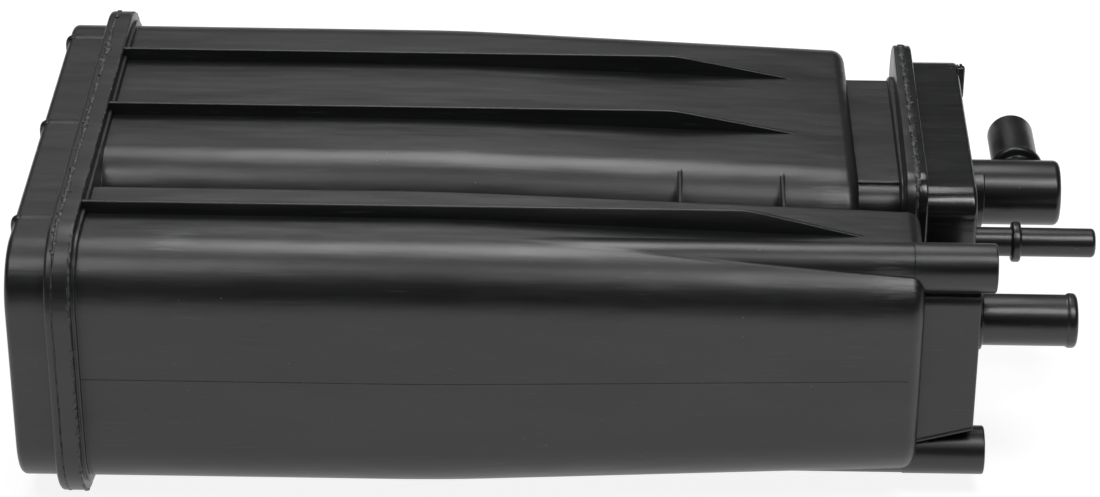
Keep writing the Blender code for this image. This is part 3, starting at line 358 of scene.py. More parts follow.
def activatedCarbon():
    # extruded carbon pellets 2 mm across: dull and sooty, each one catching the light on its own edge; the colour
    # darkens towards the gaps between pellets as painted shade
    material, tree = newMaterial("activatedCarbonPellets")
    grains = addSpace(tree, carbonLook["size"])
    pellets = addNode(tree, "ShaderNodeTexVoronoi", {"feature": "F1"}, {"Scale": 1.0},
                      {"Vector": grains.outputs[0]})
    addSkin(tree, carbonLook, pellets.outputs["Distance"], pellets.outputs["Distance"], hollow=True)
    return material


def polyesterFelt():
    # needled polyester felt: matt and off-white, with bundles of loose fibres 0.6 mm apart
    material, tree = newMaterial("needledPolyesterFelt")
    wool = addSpace(tree, feltLook["size"], feltLook["stretch"])
    fibres = addNode(tree, "ShaderNodeTexNoise", inputs={"Scale": 1.0, "Detail": 6.0, "Roughness": 0.75},
                     links={"Vector": wool.outputs[0]})
    addSkin(tree, feltLook, fibres.outputs["Fac"], fibres.outputs["Fac"])
    return material


def naturalNylon():
    # unfilled nylon as moulded: milky cream with a soft sheen and slow cloudiness
    material, tree = newMaterial("naturalMouldedNylon")
    milk = addSpace(tree, creamLook["size"])
    clouds = addNode(tree, "ShaderNodeTexNoise", inputs={"Scale": 1.0, "Detail": 3.0},
                     links={"Vector": milk.outputs[0]})
    addSkin(tree, creamLook, clouds.outputs["Fac"], clouds.outputs["Fac"])
    return material


def linedMetal(name):
    # metal with the fine lines of its making: wire drawn through a die, or a bar turned on a lathe
    look = metalLooks[name]
    material, tree = newMaterial(name)
    lines = addSpace(tree, look["size"], look["stretch"])
    grooves = addNode(tree, "ShaderNodeTexNoise", inputs={"Scale": 1.0, "Detail": 3.0},
                      links={"Vector": lines.outputs[0]})
    least, most = look["roughRange"]
    worn = addNode(tree, "ShaderNodeMapRange", inputs={"To Min": least, "To Max": most},
                   links={"Value": grooves.outputs["Fac"]})
    addSkin(tree, look, grooves.outputs["Fac"], grooves.outputs["Fac"], links={"Roughness": worn.outputs["Result"]})
    return material


finishes = {
    "black_nylon": blackNylon("mouldedBlackNylon", roughness=0.38),
    "activated_carbon": activatedCarbon(),
    "polyester_felt": polyesterFelt(),
    "natural_nylon": naturalNylon(),
    "spring_steel": linedMetal("drawnSpringSteel"),
    "brass": linedMetal("turnedBrass"),
}
glossyNylon = blackNylon("polishedMouldBlackNylon", roughness=0.23)
satinNylon = blackNylon("satinMouldBlackNylon", roughness=0.32)
weldFinish = weldedNylon()
for part in frame["record"]["subparts"]:
    slots = frame["nodes"][part["node"]].data.materials
    slots.clear()
    slots.append(finishes[part["material_slot"]])
print("finishes ready")

# shared by all mouldings, in mm: how far one reaches into the next, and the bend of a sharp corner
overlap = 1.5
sharp = 0.05


def roundedSection(sides, bends, drop=0.0, steps=10):
    # (y, z) round a moulding: front low, back low, back high, front high corner, drawn in by drop
    front, back, low, high = sides
    front, back, low, high = front + drop, back - drop, low + drop, high - drop
    corners = ((front, low, 180), (back, low, 270), (back, high, 0), (front, high, 90))
    points = []
    for (y, z, start), bend in zip(corners, bends):
        bend = max(bend - drop, sharp)
        midY = y + bend if y == front else y - bend
        midZ = z + bend if z == low else z - bend
        for step in range(steps + 1):
            angle = math.radians(start + 90 * step / steps)
            points.append((midY + bend * math.cos(angle), midZ + bend * math.sin(angle)))
    return points


def addRings(bm, rings):
    # a closed skin through rings of equal count
    loops = [[bm.verts.new(Vector(p) * mm) for p in ring] for ring in rings]
    for ring, nextRing in zip(loops, loops[1:]):
        for i in range(len(ring)):
            j = (i + 1) % len(ring)
            bm.faces.new((ring[i], ring[j], nextRing[j], nextRing[i]))
    bm.faces.new(loops[0])
    bm.faces.new(list(reversed(loops[-1])))


def addMoulding(bm, sidesAt, bends, stops, rounds=(0.0, 0.0), shift=None, steps=10, endSteps=5):
    # a moulding along X through the stops, with its two end edges rounded
    start, end = stops[0], stops[-1]
    path = []
    for i in range(endSteps if rounds[0] else 0):
        turn = math.radians(90 * i / endSteps)
        path.append((start + rounds[0] * (1 - math.cos(turn)), rounds[0] * (1 - math.sin(turn))))
    inner = [x for x in stops if start + rounds[0] < x < end - rounds[1]]
    path += [(x, 0.0) for x in [start + rounds[0]] + inner + [end - rounds[1]]]
    for i in range(1, endSteps + 1 if rounds[1] else 0):
        turn = math.radians(90 * i / endSteps)
        path.append((end - rounds[1] * (1 - math.sin(turn)), rounds[1] * (1 - math.cos(turn))))
    rings = []
    for x, drop in path:
        section = roundedSection(sidesAt(x), bends, drop, steps)
        rings.append([(x + (shift(x, y) if shift else 0.0), y, z) for y, z in section])
    addRings(bm, rings)


def roundedPath(points, bends, steps=5):
    # a profile whose inner corners are rounded, one bend radius a corner
    path = [Vector(points[0])]
    for before, corner, after, bend in zip(points, points[1:], points[2:], bends):
        before, corner, after = Vector(before), Vector(corner), Vector(after)
        if bend == 0:
            path.append(corner)
            continue
        toBefore, toAfter = (before - corner).normalized(), (after - corner).normalized()
        half = toBefore.angle(toAfter) / 2
        reach = bend / math.tan(half)
        centre = corner + (toBefore + toAfter).normalized() * (bend / math.sin(half))
        first, last = corner + toBefore * reach - centre, corner + toAfter * reach - centre
        for step in range(steps + 1):
            path.append(centre + first.slerp(last, step / steps) * bend)
    path.append(Vector(points[-1]))
    return path


def addTurned(bm, start, axis, profile, sides=64):
    # a turned skin round an axis; the profile (along, radius) starts and ends on the axis
    turn = Vector((0, 0, 1)).rotation_difference(Vector(axis))
    rings = []
    for along, radius in profile:
        if radius <= 1e-6:
            rings.append([bm.verts.new((Vector(start) + turn @ Vector((0, 0, along))) * mm)])
            continue
        ring = []
        for i in range(sides):
            angle = 2 * math.pi * i / sides
            local = Vector((radius * math.cos(angle), radius * math.sin(angle), along))
            ring.append(bm.verts.new((Vector(start) + turn @ local) * mm))
        rings.append(ring)
    for ring, nextRing in zip(rings, rings[1:]):
        for i in range(sides):
            j = (i + 1) % sides
            corners = [ring[i % len(ring)], ring[j % len(ring)], nextRing[j % len(nextRing)],
                       nextRing[i % len(nextRing)]]
            bm.faces.new(list(dict.fromkeys(corners)))


def spread(start, end, gap):
    count = max(1, round((end - start) / gap))
    return [start + (end - start) * i / count for i in range(count + 1)]


def makePiece(name, bm, finish, nodes=(), smooth=32):
    # turns the skins into one shaded piece that rides with the object; edges sharper than smooth stay crisp
    bmesh.ops.recalc_face_normals(bm, faces=bm.faces)
    mesh = bpy.data.meshes.new(name)
    bm.to_mesh(mesh)
    bm.free()
    mesh.shade_smooth()
    mesh.set_sharp_from_angle(angle=math.radians(smooth))
    mesh.materials.append(finish)
    piece = bpy.data.objects.new(name, mesh)
    scene.collection.objects.link(piece)
    weights = piece.modifiers.new("flatFaces", "WEIGHTED_NORMAL")
    weights.keep_sharp = True
    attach(piece, "root")
    if nodes:
        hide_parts(*nodes)
    print("made", name, "with", len(mesh.polygons), "faces")


def nodeEdge(node, side, axis):
    # where a node begins (side 0) or ends (side 1) along an axis, in mm
    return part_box(node)[side][axis] / mm


# the two lobes, as a long tapered moulding each
lobes = {
    "start": nodeEdge("main_housing", 0, 0),
    "plate": 5.4,
    "kink": -38.05,
    "kinkBlend": 14.0,
    "nearEnd": 110.75,
    "farEnd": 93.25,
    "front": -86.7,
    "nearBack": -37.0,
    "farFront": -28.5,
    "back": 86.7,
    "low": 5.3,
    "high": 89.6,
    "frontSlope": 0.040,
    "backSlope": 0.023,
    "lowSlope": 0.022,
    "nearHighSlope": 0.034,
    "farHighSlope": 0.031,
    "bend": 17.7,
    "valleyBend": 1.6,
    "endBend": 4.2,
    "nearSkew": 0.6,
    "farSkew": -1.2,
    "pitch": 7.0,
}
flangeEnd = lobes["start"] + lobes["plate"]


def taperRun(x):
    # distance past the kink, eased in over the blend
    ease = lobes["kinkBlend"]
    past = x - lobes["kink"]
    if abs(past) >= ease:
        return max(0.0, past)
    return (past + ease) ** 2 / (4 * ease)


def nearSides(x):
    run = taperRun(x)
    return (lobes["front"] + run * lobes["frontSlope"], lobes["nearBack"],
            lobes["low"] + run * lobes["lowSlope"], lobes["high"] - run * lobes["nearHighSlope"])


def farSides(x):
    run = taperRun(x)
    return (lobes["farFront"], lobes["back"] - run * lobes["backSlope"],
            lobes["low"] + run * lobes["lowSlope"], lobes["high"] - run * lobes["farHighSlope"])


def endSkew(x, y, end, first, last, amount):
    # the lobe's end face stands slightly askew
    along = max(0.0, (x - lobes["kink"]) / (end - lobes["kink"]))
    return amount * along * (y - first) / (last - first)


def addLobes(bm):
    bend, valley = lobes["bend"], lobes["valleyBend"]
    for sides, bends, end, first, last, skew in (
            (nearSides, (bend, valley, valley, bend), lobes["nearEnd"], lobes["front"], lobes["nearBack"],
             lobes["nearSkew"]),
            (farSides, (bend,) * 4, lobes["farEnd"], lobes["farFront"], lobes["back"], lobes["farSkew"])):
        addMoulding(bm, sides, bends, spread(flangeEnd - overlap, end, lobes["pitch"]), (0.0, lobes["endBend"]),
                    lambda x, y: endSkew(x, y, end, first, last, skew), steps=14, endSteps=7)


# ribs along the top, repeated below
ribs = {
    "thick": 1.4,
    "drop": 0.9,
    "tipBend": 0.35,
    "foot": 1.2,
    "kneeReach": 4.0,
    "sunk": 1.0,
    "pitch": 2.5,
    # lobe, place across, length to the knee and whole length
    "rows": (("near", -54.4, 206.2, 241.8), ("far", 48.6, 184.5, 223.5), ("far", 10.2, 183.5, 223.3)),
}


def ribHeight(x, wall, level, knee, end):
    # level up to the knee, then an eased fall into the tapered wall
    endHeight = wall(end)
    fall = (level - endHeight) / (end - knee)
    reach = ribs["kneeReach"]
    if x <= knee - reach:
        return level
    if x >= knee + reach:
        return level - fall * (x - knee)
    return level - fall * (x - knee + reach) ** 2 / (4 * reach)


def buildRibs():
    # a piece of their own, so that their feet stay crisp
    bm = bmesh.new()
    total = nodeEdge("main_housing", 1, 2)
    for lobe, y, flat, length in ribs["rows"]:
        sidesAt = nearSides if lobe == "near" else farSides
        half = ribs["thick"] / 2
        knee, end = flangeEnd + flat, flangeEnd + length
        for upper in (True, False):
            def wall(x):
                sides = sidesAt(x)
                return sides[3] if upper else total - sides[2]

            def ribSides(x):
                high = ribHeight(x, wall, total - ribs["drop"], knee, end)
                low = min(wall(x), high) - ribs["foot"]
                return (y - half, y + half, low, high) if upper else (y - half, y + half, total - high, total - low)

            bends = (sharp, sharp, ribs["tipBend"], ribs["tipBend"])
            stops = spread(flangeEnd - ribs["sunk"], end, ribs["pitch"])
            addMoulding(bm, ribSides, bends if upper else bends[::-1], stops, steps=3)
    makePiece("housingRibs", bm, finishes["black_nylon"])


# thin webs across the valley between the lobes
webs = {"thick": 1.3, "stations": (185.2, 217.9), "nearDrop": 0.4, "farDrop": 1.0, "footRise": 2.6, "tipBend": 0.4,
        "pitch": 3.0}


def addWebs(bm):
    half = webs["thick"] / 2
    for station in webs["stations"]:
        x = flangeEnd + station
        low = nearSides(x)[2] + webs["footRise"]
        nearY, farY = lobes["nearBack"] - overlap, lobes["farFront"] + lobes["bend"]
        nearHigh, farHigh = nearSides(x)[3] - webs["nearDrop"], farSides(x)[3] - webs["farDrop"]
        rings = []
        for y in spread(nearY, farY, webs["pitch"]):
            share = (y - nearY) / (farY - nearY)
            high = nearHigh + (farHigh - nearHigh) * share
            section = roundedSection((x - half, x + half, low, high), (sharp, sharp, webs["tipBend"], webs["tipBend"]),
                                     steps=3)
            rings.append([(a, y, z) for a, z in section])
        addRings(bm, rings)


# bosses, with the shut line of the tool where they leave the lobe
bosses = {
    "across": 15.5,
    "fromFront": 21.0,
    "drop": 0.9,
    "start": -54.0,
    "end": nodeEdge("upper_boss_insert", 1, 0),
    "seam": 107.4,
    "seamHalf": 0.15,
    "seamDepth": 0.35,
    "rootDrop": 0.2,
    "seat": 9.6,
    "seatDepth": 12.3,
    "seatRim": 0.3,
    "rim": 0.6,
}


def bossPlaces():
    y = lobes["front"] + bosses["fromFront"]
    depth = bosses["drop"] + bosses["across"] / 2
    return ((y, lobes["high"] - depth), (y, lobes["low"] + depth))


def addBosses(bm):
    radius = bosses["across"] / 2
    length = bosses["end"] - bosses["start"]
    seam = bosses["seam"] - bosses["start"]
    floor = length - bosses["seatDepth"]
    half, root, seat = bosses["seamHalf"], radius - bosses["rootDrop"], bosses["seat"] / 2
    outline = [(0, 0), (0, root), (seam - half, root), (seam, radius - bosses["seamDepth"]), (seam + half, radius),
               (length, radius), (length, seat), (floor, seat), (floor, 0)]
    bends = (0, 0, 0, 0, bosses["rim"], bosses["seatRim"], 0)
    for y, z in bossPlaces():
        addTurned(bm, (bosses["start"], y, z), (1, 0, 0), roundedPath(outline, bends))


# narrow lobe's neck: a box with a slanted floor
nearNeck = {
    "end": 128.9,
    "frontInset": 9.3,
    "backInset": 4.8,
    "topDrop": 10.1,
    "bottomRise": 11.7,
    "slant": 5.0,
    "footBend": 1.2,
    "topBend": 4.6,
    "endBend": 0.8,
    "lip": 1.0,
    "lipProud": 0.35,
    "lipDrop": 0.2,
    "lipBend": 0.4,
    "lipEnd": 0.5,
    "sunk": 6.0,
    "pitch": 3.0,
}


def nearNeckSides(x):
    front, back, low, high = nearSides(lobes["nearEnd"])
    share = max(0.0, min(1.0, (x - lobes["nearEnd"]) / (nearNeck["end"] - lobes["nearEnd"])))
    foot = low + nearNeck["bottomRise"] + share * nearNeck["slant"]
    return (front + nearNeck["frontInset"], back - nearNeck["backInset"], foot, high - nearNeck["topDrop"])


def addNearNeck(bm):
    stops = [lobes["nearEnd"] - nearNeck["sunk"]] + spread(lobes["nearEnd"], nearNeck["end"], nearNeck["pitch"])
    foot, top, proud = nearNeck["footBend"], nearNeck["topBend"], nearNeck["lipProud"]
    addMoulding(bm, nearNeckSides, (foot, foot, top, top), stops, (0.0, nearNeck["endBend"]), steps=6, endSteps=4)

    def lipSides(x):
        front, back, low, _ = nearNeckSides(x)
        return (front - proud, back + proud, low - nearNeck["lipDrop"], low + nearNeck["lip"])

    addMoulding(bm, lipSides, (nearNeck["lipBend"],) * 4, stops, (0.0, nearNeck["lipEnd"]), steps=3, endSteps=3)


# wide lobe's neck, its pads and collar, and the port flange
farNeck = {
    "width": 83.0,
    "height": 57.8,
    "bend": 8.0,
    "sunk": 8.0,
    "padRise": 1.2,
    "padFront": 7.7,
    "padBack": 4.3,
    "padBend": 0.8,
    "collarRise": 3.0,
    "collarLength": 1.6,
    "collarEdge": 1.1,
    "flangeStart": 108.45,
    "flangeWidth": 117.0,
    "flangeHeight": 78.9,
    "flangeBends": (10.0, 17.0, 17.0, 10.0),
    "frontTrim": 5.5,
    "plate": 3.1,
    "toe": 0.7,
    "edge": 0.7,
}
middleZ = nodeEdge("main_housing", 1, 2) / 2
portY = sum(farSides(lobes["farEnd"])[:2]) / 2


def around(width, height, grow=0.0):
    # a rectangle about the port's centre
    halfY, halfZ = width / 2 + grow, height / 2 + grow
    return (portY - halfY, portY + halfY, middleZ - halfZ, middleZ + halfZ)


def portSides(trim, grow=0.0):
    # the port flange's outline, its front drawn in by trim
    front, back, low, high = around(farNeck["flangeWidth"], farNeck["flangeHeight"], grow)
    return (front + trim, back, low, high)


def addFarNeck(bm):
    start, face = lobes["farEnd"] - farNeck["sunk"], farNeck["flangeStart"]
    sides = around(farNeck["width"], farNeck["height"])
    addMoulding(bm, lambda x: sides, (farNeck["bend"],) * 4, [start, face + overlap], steps=10)
    pad = (sides[0] + farNeck["padFront"], sides[1] - farNeck["padBack"],
           sides[2] - farNeck["padRise"], sides[3] + farNeck["padRise"])
    addMoulding(bm, lambda x: pad, (farNeck["padBend"],) * 4, [start, face + overlap], steps=4)
    collar = around(farNeck["width"], farNeck["height"], farNeck["collarRise"])
    addMoulding(bm, lambda x: collar, (farNeck["bend"] + farNeck["collarRise"],) * 4,
                [face - farNeck["collarLength"], face + overlap], (farNeck["collarEdge"], 0.0), steps=10)
    flange = portSides(farNeck["frontTrim"], -weldFlange["flashRoom"])

    def toeOut(x, y):
        return farNeck["toe"] * (face + farNeck["plate"] - x) / farNeck["plate"] * (y - portY) / (flange[1] - portY)

    addMoulding(bm, lambda x: flange, farNeck["flangeBends"], [face, face + farNeck["plate"]],
                (farNeck["edge"], farNeck["edge"]), toeOut, steps=14, endSteps=4)


# weld flange of the housing and its collar towards the lobes
weldFlange = {"edge": 0.7, "weldEdge": 0.35, "bend": 23.0, "collar": 1.1, "collarRise": 2.0, "collarEdge": 0.5,
              "collarSunk": 1.0, "flashRoom": 0.3}


def flangeSides(grow=0.0):
    low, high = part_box("end_cover")
    return (low[1] / mm - grow, high[1] / mm + grow, low[2] / mm - grow, high[2] / mm + grow)


def addFlange(bm):
    addMoulding(bm, lambda x: flangeSides(-weldFlange["flashRoom"]), (weldFlange["bend"],) * 4,
                [lobes["start"], flangeEnd], (weldFlange["weldEdge"], weldFlange["edge"]), steps=18, endSteps=4)
    rise = weldFlange["collarRise"]
    collar = (lobes["front"] - rise, lobes["back"] + rise, lobes["low"] - rise, lobes["high"] + rise)
    addMoulding(bm, lambda x: collar, (lobes["bend"] + rise,) * 4,
                [flangeEnd - weldFlange["collarSunk"], flangeEnd + weldFlange["collar"]],
                (0.0, weldFlange["collarEdge"]), steps=14)


# parting line of the mould, a hair of flash along the narrow lobe's front and the wide lobe's back
parting = {"height": 48.6, "thick": 0.24, "proud": 0.07, "sunk": 0.5, "bend": 0.08, "pitch": 6.0}


def addPartingLine(bm):
    half, proud, sunk = parting["thick"] / 2, parting["proud"], parting["sunk"]
    z = parting["height"]
    bends = (parting["bend"],) * 4
    stops = spread(flangeEnd, lobes["nearEnd"] - lobes["endBend"], parting["pitch"])
    addMoulding(bm, lambda x: (nearSides(x)[0] - proud, nearSides(x)[0] + sunk, z - half, z + half), bends, stops,
                steps=2)
    stops = spread(flangeEnd, lobes["farEnd"] - lobes["endBend"], parting["pitch"])
    addMoulding(bm, lambda x: (farSides(x)[1] - sunk, farSides(x)[1] + proud, z - half, z + half), bends, stops,
                steps=2)


def buildHousing():
    bm = bmesh.new()
    addFlange(bm)
    addLobes(bm)
    addWebs(bm)
    addBosses(bm)
    addNearNeck(bm)
    addFarNeck(bm)
    addPartingLine(bm)
    makePiece("housingShell", bm, finishes["black_nylon"], ("main_housing",))


# dished end cover with three low ribs
endCover = {
    "ribProud": 1.2,
    "plate": 2.4,
    "plateEdge": 1.0,
    "endBend": 1.9,
    "ribs": (-57.6, 4.0, 64.4),
    "ribThick": 2.4,
    "ribRise": 0.5,
    "ribCorner": 2.8,
    "ribReach": 1.0,
    "ribPitch": 0.35,
    "ribBend": 1.0,
    "ribEdge": 0.5,
    "topRibBend": 0.6,
    "topRibEdge": 0.4,
}


def buildEndCover():
    bm = bmesh.new()
    start, weld = nodeEdge("end_cover", 0, 0), nodeEdge("end_cover", 1, 0)
    face, plate = start + endCover["ribProud"], weld - endCover["plate"]
    faceEnd, corner, reach = face + endCover["endBend"], endCover["ribCorner"], endCover["ribReach"]
    addMoulding(bm, lambda x: flangeSides(-weldFlange["flashRoom"]), (weldFlange["bend"],) * 4, [plate, weld],
                (endCover["plateEdge"], weldFlange["weldEdge"]), steps=18, endSteps=4)
    dome = (lobes["front"], lobes["back"], lobes["low"], lobes["high"])
    addMoulding(bm, lambda x: dome, (lobes["bend"],) * 4, [face, plate + overlap], (endCover["endBend"], 0.0),
                steps=14, endSteps=7)
    half, rise = endCover["ribThick"] / 2, endCover["ribRise"]
    for y in endCover["ribs"]:
        def endRib(x):
            # its top follows the cover's rounded edge
            left = max(0.0, corner - (x - start))
            drop = corner - math.sqrt(corner ** 2 - left ** 2)
            return (y - half, y + half, lobes["low"] + lobes["bend"] / 2, lobes["high"] + rise - drop)

        addMoulding(bm, endRib, (endCover["ribBend"],) * 4, spread(start, faceEnd + reach, endCover["ribPitch"]),
                    (endCover["ribEdge"], 0.0), steps=5)
        topRib = (y - half, y + half, lobes["low"] - rise, lobes["high"] + rise)
        addMoulding(bm, lambda x: topRib, (endCover["topRibBend"],) * 4, [faceEnd, plate + reach],
                    (endCover["topRibEdge"], 0.0), steps=4)
    makePiece("endCoverShell", bm, finishes["black_nylon"], ("end_cover",))


# port cover: welded plate, box, and its three ports
portCover = {
    "lip": 6.0,
    "frontTrim": 2.4,
    "boxBend": 11.0,
    "frontBend": 8.5,
    "edge": 1.4,
    "end": 131.15,
    "sunk": 1.0,
    "ribThick": 2.6,
    "ribHeight": 12.0,
    "ribProud": 2.4,
    "ribSunk": 3.0,
    "ribBend": 0.9,
    "tank": {"place": (19.69, 59.85), "outer": 21.5, "bore": 16.5, "length": 30.8, "foot": 1.2,
             "bends": (0, 0, 0.8, 2.0, 0.3, 0)},
    "pad": {"length": 5.3, "proud": 1.3, "from": 122, "steps": 32,
            "edge": ((-0.5, 0.0), (-0.15, 0.15), (0.0, 0.5))},
    "purge": {"place": (-6.31, 55.95), "outer": 9.49, "bore": 6.6, "length": 40.4, "foot": 0.8,
              "bead": 13.2, "beadAt": 13.1, "beadLength": 3.0,
              "bends": (0, 0, 0.6, 0.25, 0.9, 0.9, 0.25, 1.3, 0.3, 0)},
    "branch": {"out": 18.2, "outer": 15.4, "bore": 10.3, "reach": 40.6, "neck": 12.2, "sunk": 0.8,
               "collar": 18.0, "collarAt": 13.6, "collarLength": 2.4, "collarFall": 1.4,
               "bends": (0, 0.8, 0.8, 0.8, 0.6, 1.2, 0.4, 0)},
}


def addPortBox(bm):
    start, plate = nodeEdge("port_cover", 0, 0), farNeck["plate"]
    edge = farNeck["edge"]
    flange = portSides(farNeck["frontTrim"], -weldFlange["flashRoom"])
    addMoulding(bm, lambda x: flange, farNeck["flangeBends"], [start, start + plate], (edge, edge),
                steps=14, endSteps=4)
    side = portSides(portCover["frontTrim"], -portCover["lip"])
    end = portCover["end"]
    frontBend, backBend = portCover["frontBend"], portCover["boxBend"]
    addMoulding(bm, lambda x: side, (frontBend, backBend, backBend, frontBend),
                [start + plate - portCover["sunk"], end], (0.0, portCover["edge"]), steps=12, endSteps=5)
    half = portCover["ribThick"] / 2
    ribY = side[1] - portCover["boxBend"]
    rib = (ribY - half, ribY + half, side[3] - portCover["ribHeight"], side[3])
    bend = portCover["ribBend"]
    addMoulding(bm, lambda x: rib, (bend,) * 4, [end - portCover["ribSunk"], end + portCover["ribProud"]],
                (0.0, bend), steps=4)


def addPorts(bm):
    end, sunk = portCover["end"], portCover["sunk"]
    tank, purge, branch = portCover["tank"], portCover["purge"], portCover["branch"]
    radius, bore, length, foot = tank["outer"] / 2, tank["bore"] / 2, tank["length"], tank["foot"]
    outline = [(-sunk, 0), (-sunk, radius + foot), (0, radius + foot), (foot, radius), (length, radius),
               (length, bore), (sunk, bore), (sunk, 0)]
    addTurned(bm, (end, *tank["place"]), (1, 0, 0), roundedPath(outline, tank["bends"]), 80)
    radius, bore, length, foot = purge["outer"] / 2, purge["bore"] / 2, purge["length"], purge["foot"]
    bead, beadAt = purge["bead"] / 2, purge["beadAt"]
    beadEnd = beadAt + purge["beadLength"]
    outline = [(-sunk, 0), (-sunk, radius + foot), (0, radius + foot), (foot, radius), (beadAt, radius),
               (beadAt, bead), (beadEnd, bead), (beadEnd, radius), (length, radius), (length, bore), (sunk, bore),
               (sunk, 0)]
    addTurned(bm, (end, *purge["place"]), (1, 0, 0), roundedPath(outline, purge["bends"]), 56)
    radius, bore, reach, neck = branch["outer"] / 2, branch["bore"] / 2, branch["reach"], branch["neck"] / 2
    collar, collarAt = branch["collar"] / 2, branch["collarAt"]
    collarEnd = collarAt + branch["collarLength"]
    root = (tank["bore"] / 2 + tank["outer"] / 2) / 2 - branch["sunk"]
    outline = [(root, 0), (root, neck), (collarAt, neck), (collarAt, collar), (collarEnd, collar),
               (collarEnd + branch["collarFall"], radius), (reach, radius), (reach, bore), (collarAt, bore),
               (collarAt, 0)]
    addTurned(bm, (end + branch["out"], *tank["place"]), (0, 1, 0), roundedPath(outline, branch["bends"]), 64)


def addTankPad(bm):
    # thicker foot round the front half of the tank port
    tank, pad = portCover["tank"], portCover["pad"]
    y, z = tank["place"]
    radius = tank["outer"] / 2 + pad["proud"]
    outline = [(y, z)]
    for step in range(pad["steps"] + 1):
        angle = math.radians(pad["from"] + 180 * step / pad["steps"])
        outline.append((y + radius * math.cos(angle), z + radius * math.sin(angle)))
    end = portCover["end"] + pad["length"]
    stops = [(portCover["end"] - portCover["sunk"], 0.0)] + [(end + short, drop) for short, drop in pad["edge"]]
    rings = []
    for x, drop in stops:
        share = 1 - drop / radius
        rings.append([(x, y + (a - y) * share, z + (b - z) * share) for a, b in outline])
    addRings(bm, rings)


def buildPortCover():
    # the box from a polished mould, its ports a little duller
    bm = bmesh.new()
    addPortBox(bm)
    makePiece("portCoverShell", bm, glossyNylon, ("port_cover",))
    bm = bmesh.new()
    addPorts(bm)
    addTankPad(bm)
    makePiece("portCoverPorts", bm, satinNylon)


# hose nipple on the narrow lobe's neck
hoseNipple = {
    "outer": 16.2,
    "bead": 17.2,
    "beadLength": 3.4,
    "beadRise": 0.8,
    "bore": 12.2,
    "base": 19.0,
    "baseLength": 2.0,
    "spigot": 14.8,
    "above": 10.9,
    "wall": 2.4,
    "bends": (0, 0, 0.4, 0.5, 0.4, 0.5, 0.5, 1.4, 0.6),
}


def buildHoseNipple():
    bm = bmesh.new()
    front, back = nearSides(lobes["nearEnd"])[:2]
    start = nodeEdge("hose_nipple", 0, 0)
    wall = hoseNipple["wall"]
    length = nodeEdge("hose_nipple", 1, 0) - start
    tube, bead, base, bore, spigot = (hoseNipple[k] / 2 for k in ("outer", "bead", "base", "bore", "spigot"))
    beadFrom = length - hoseNipple["beadLength"]
    foot = wall + hoseNipple["baseLength"]
    outline = [(0, bore), (0, spigot), (wall, spigot), (wall, base), (foot, base), (foot, tube), (beadFrom, tube),
               (beadFrom + hoseNipple["beadRise"], bead), (length, bead), (length, bore), (0, bore)]
    addTurned(bm, (start, (front + back) / 2, middleZ + hoseNipple["above"]), (1, 0, 0),
              roundedPath(outline, hoseNipple["bends"]), 72)
    makePiece("hoseNippleTube", bm, satinNylon, ("hose_nipple",))


# nylon squeezed out of the two welds: a lumpy string round each flange with torn crumbs on it, and a thin
# flash along the end flange's edge; "front" scales each one on the front face, where the seam was wiped flat
weldStrings = {
    "coverSeam": {"thick": 0.72, "lumps": 0.55, "lumpSize": 1.9, "wander": 0.45, "sunk": 0.80, "crumbs": 110,
                  "front": 0.45, "seed": 3},
    "flangeFlash": {"thick": 0.22, "lumps": 0.26, "lumpSize": 1.3, "wander": 0.15, "sunk": 0.62, "crumbs": 0,
                    "front": 1.9, "seed": 5, "inset": 0.45},
    "portSeam": {"thick": 0.80, "lumps": 0.70, "lumpSize": 1.7, "wander": 0.50, "sunk": 0.85, "crumbs": 100,
                 "front": 0.5, "seed": 8},
}
stringShape = {"pitch": 0.7, "bendSteps": 40, "sides": 8, "flat": 1.3, "least": 0.12, "finer": 2.7, "slower": 0.35}
crumbShape = {"reach": 0.9, "size": (0.25, 0.6), "wiped": 0.3, "flat": 1.3, "long": 1.4, "ragged": 1.7, "sunk": 0.35}
lugCrumbs = {"count": 7, "seed": 4, "across": 1.0, "along": (-0.6, 1.4), "size": (0.3, 0.45), "room": 0.5}
flashGap = 0.02    # mm left between the flash and the flange's outer edge


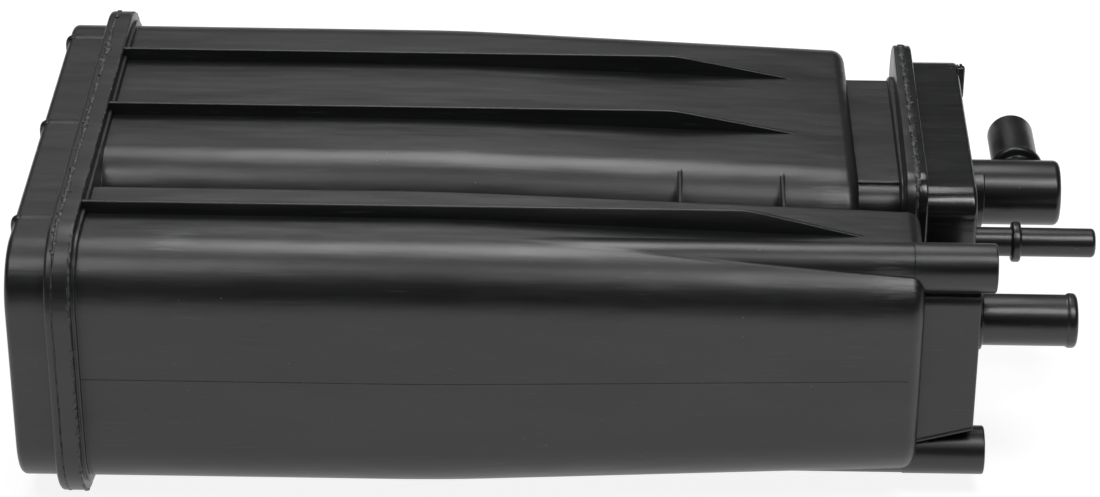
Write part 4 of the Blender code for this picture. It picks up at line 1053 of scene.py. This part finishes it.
def addWeldString(bm, x, sides, bends, look):
    picks = random.Random(look["seed"])
    count, reach = stringShape["sides"], crumbShape["reach"]
    outline = roundedSection(sides, bends, look["sunk"], stringShape["bendSteps"])
    points = []
    for a, b in zip(outline, outline[1:] + outline[:1]):
        a, b = Vector(a), Vector(b)
        parts = max(1, round((b - a).length / stringShape["pitch"]))
        points += [a.lerp(b, i / parts) for i in range(parts)]
    crumbAt = set(picks.sample(range(len(points)), look["crumbs"]))
    rings = []
    for i, point in enumerate(points):
        ahead, behind = points[(i + 1) % len(points)], points[i - 1]
        along = (ahead - behind).normalized()
        outward = Vector((along.y, -along.x))
        spot = Vector((x, point.x, point.y)) / look["lumpSize"]
        swell = noise.noise(spot) + 0.5 * noise.noise(spot * stringShape["finer"])
        facing = max(0.0, min(1.0, 1 - (point.x - sides[0]) / bends[0]))
        radius = max(stringShape["least"], look["thick"] + look["lumps"] * swell)
        radius *= 1 + (look["front"] - 1) * facing
        wander = look["wander"] * noise.noise(spot * stringShape["slower"] + Vector((7, 0, 0)))
        ring = []
        for k in range(count):
            angle = 2 * math.pi * k / count
            lift = min(radius * math.sin(angle), look["sunk"] - flashGap)
            spotOut = point + outward * lift
            spotX = x + stringShape["flat"] * radius * math.cos(angle) + wander
            ring.append(bm.verts.new(Vector((spotX, *spotOut)) * mm))
        rings.append(ring)
        if i in crumbAt and facing * (1 - look["front"]) < crumbShape["wiped"]:
            crumbX = x + wander + picks.uniform(-reach, reach)
            addCrumb(bm, crumbX, point, outward, picks.uniform(*crumbShape["size"]), look["sunk"])
    for i, ring in enumerate(rings):
        nextRing = rings[(i + 1) % len(rings)]
        for k in range(count):
            j = (k + 1) % count
            bm.faces.new((ring[k], ring[j], nextRing[j], nextRing[k]))


def addCrumb(bm, x, point, outward, size, room):
    # a torn bit of flash, kept under the flange's outer edge
    bits = bmesh.ops.create_icosphere(bm, subdivisions=1, radius=1.0)["verts"]
    for bit in bits:
        torn = noise.noise(bit.co * crumbShape["ragged"] + Vector((x, point.x, point.y)))
        local = bit.co * size * (1 + 0.5 * torn)
        lift = min(room - crumbShape["sunk"] + local.z, room - flashGap)
        spotOut = point + outward * lift + Vector((-outward.y, outward.x)) * local.y * crumbShape["long"]
        bit.co = Vector((x + local.x * crumbShape["flat"], *spotOut)) * mm


def buildWeldStrings():
    bm = bmesh.new()
    seam = (nodeEdge("end_cover", 1, 0) + lobes["start"]) / 2
    bends = (weldFlange["bend"],) * 4
    flash = weldStrings["flangeFlash"]
    addWeldString(bm, seam, flangeSides(), bends, weldStrings["coverSeam"])
    addWeldString(bm, flangeEnd - flash["inset"], flangeSides(), bends, flash)
    makePiece("coverWeldString", bm, weldFinish, smooth=60)
    bm = bmesh.new()
    seam = (farNeck["flangeStart"] + farNeck["plate"] + nodeEdge("port_cover", 0, 0)) / 2
    addWeldString(bm, seam, portSides(farNeck["frontTrim"]), farNeck["flangeBends"], weldStrings["portSeam"])
    picks = random.Random(lugCrumbs["seed"])
    side = portSides(portCover["frontTrim"], -portCover["lip"])
    lugY, across = side[1] - portCover["boxBend"], lugCrumbs["across"]
    for _ in range(lugCrumbs["count"]):
        spot = Vector((lugY + picks.uniform(-across, across), side[3]))
        crumbX = portCover["end"] + picks.uniform(*lugCrumbs["along"])
        addCrumb(bm, crumbX, spot, Vector((0, 1)), picks.uniform(*lugCrumbs["size"]), lugCrumbs["room"])
    makePiece("portWeldString", bm, weldFinish, smooth=60)


buildHousing()
buildRibs()
buildEndCover()
buildPortCover()
buildHoseNipple()
buildWeldStrings()
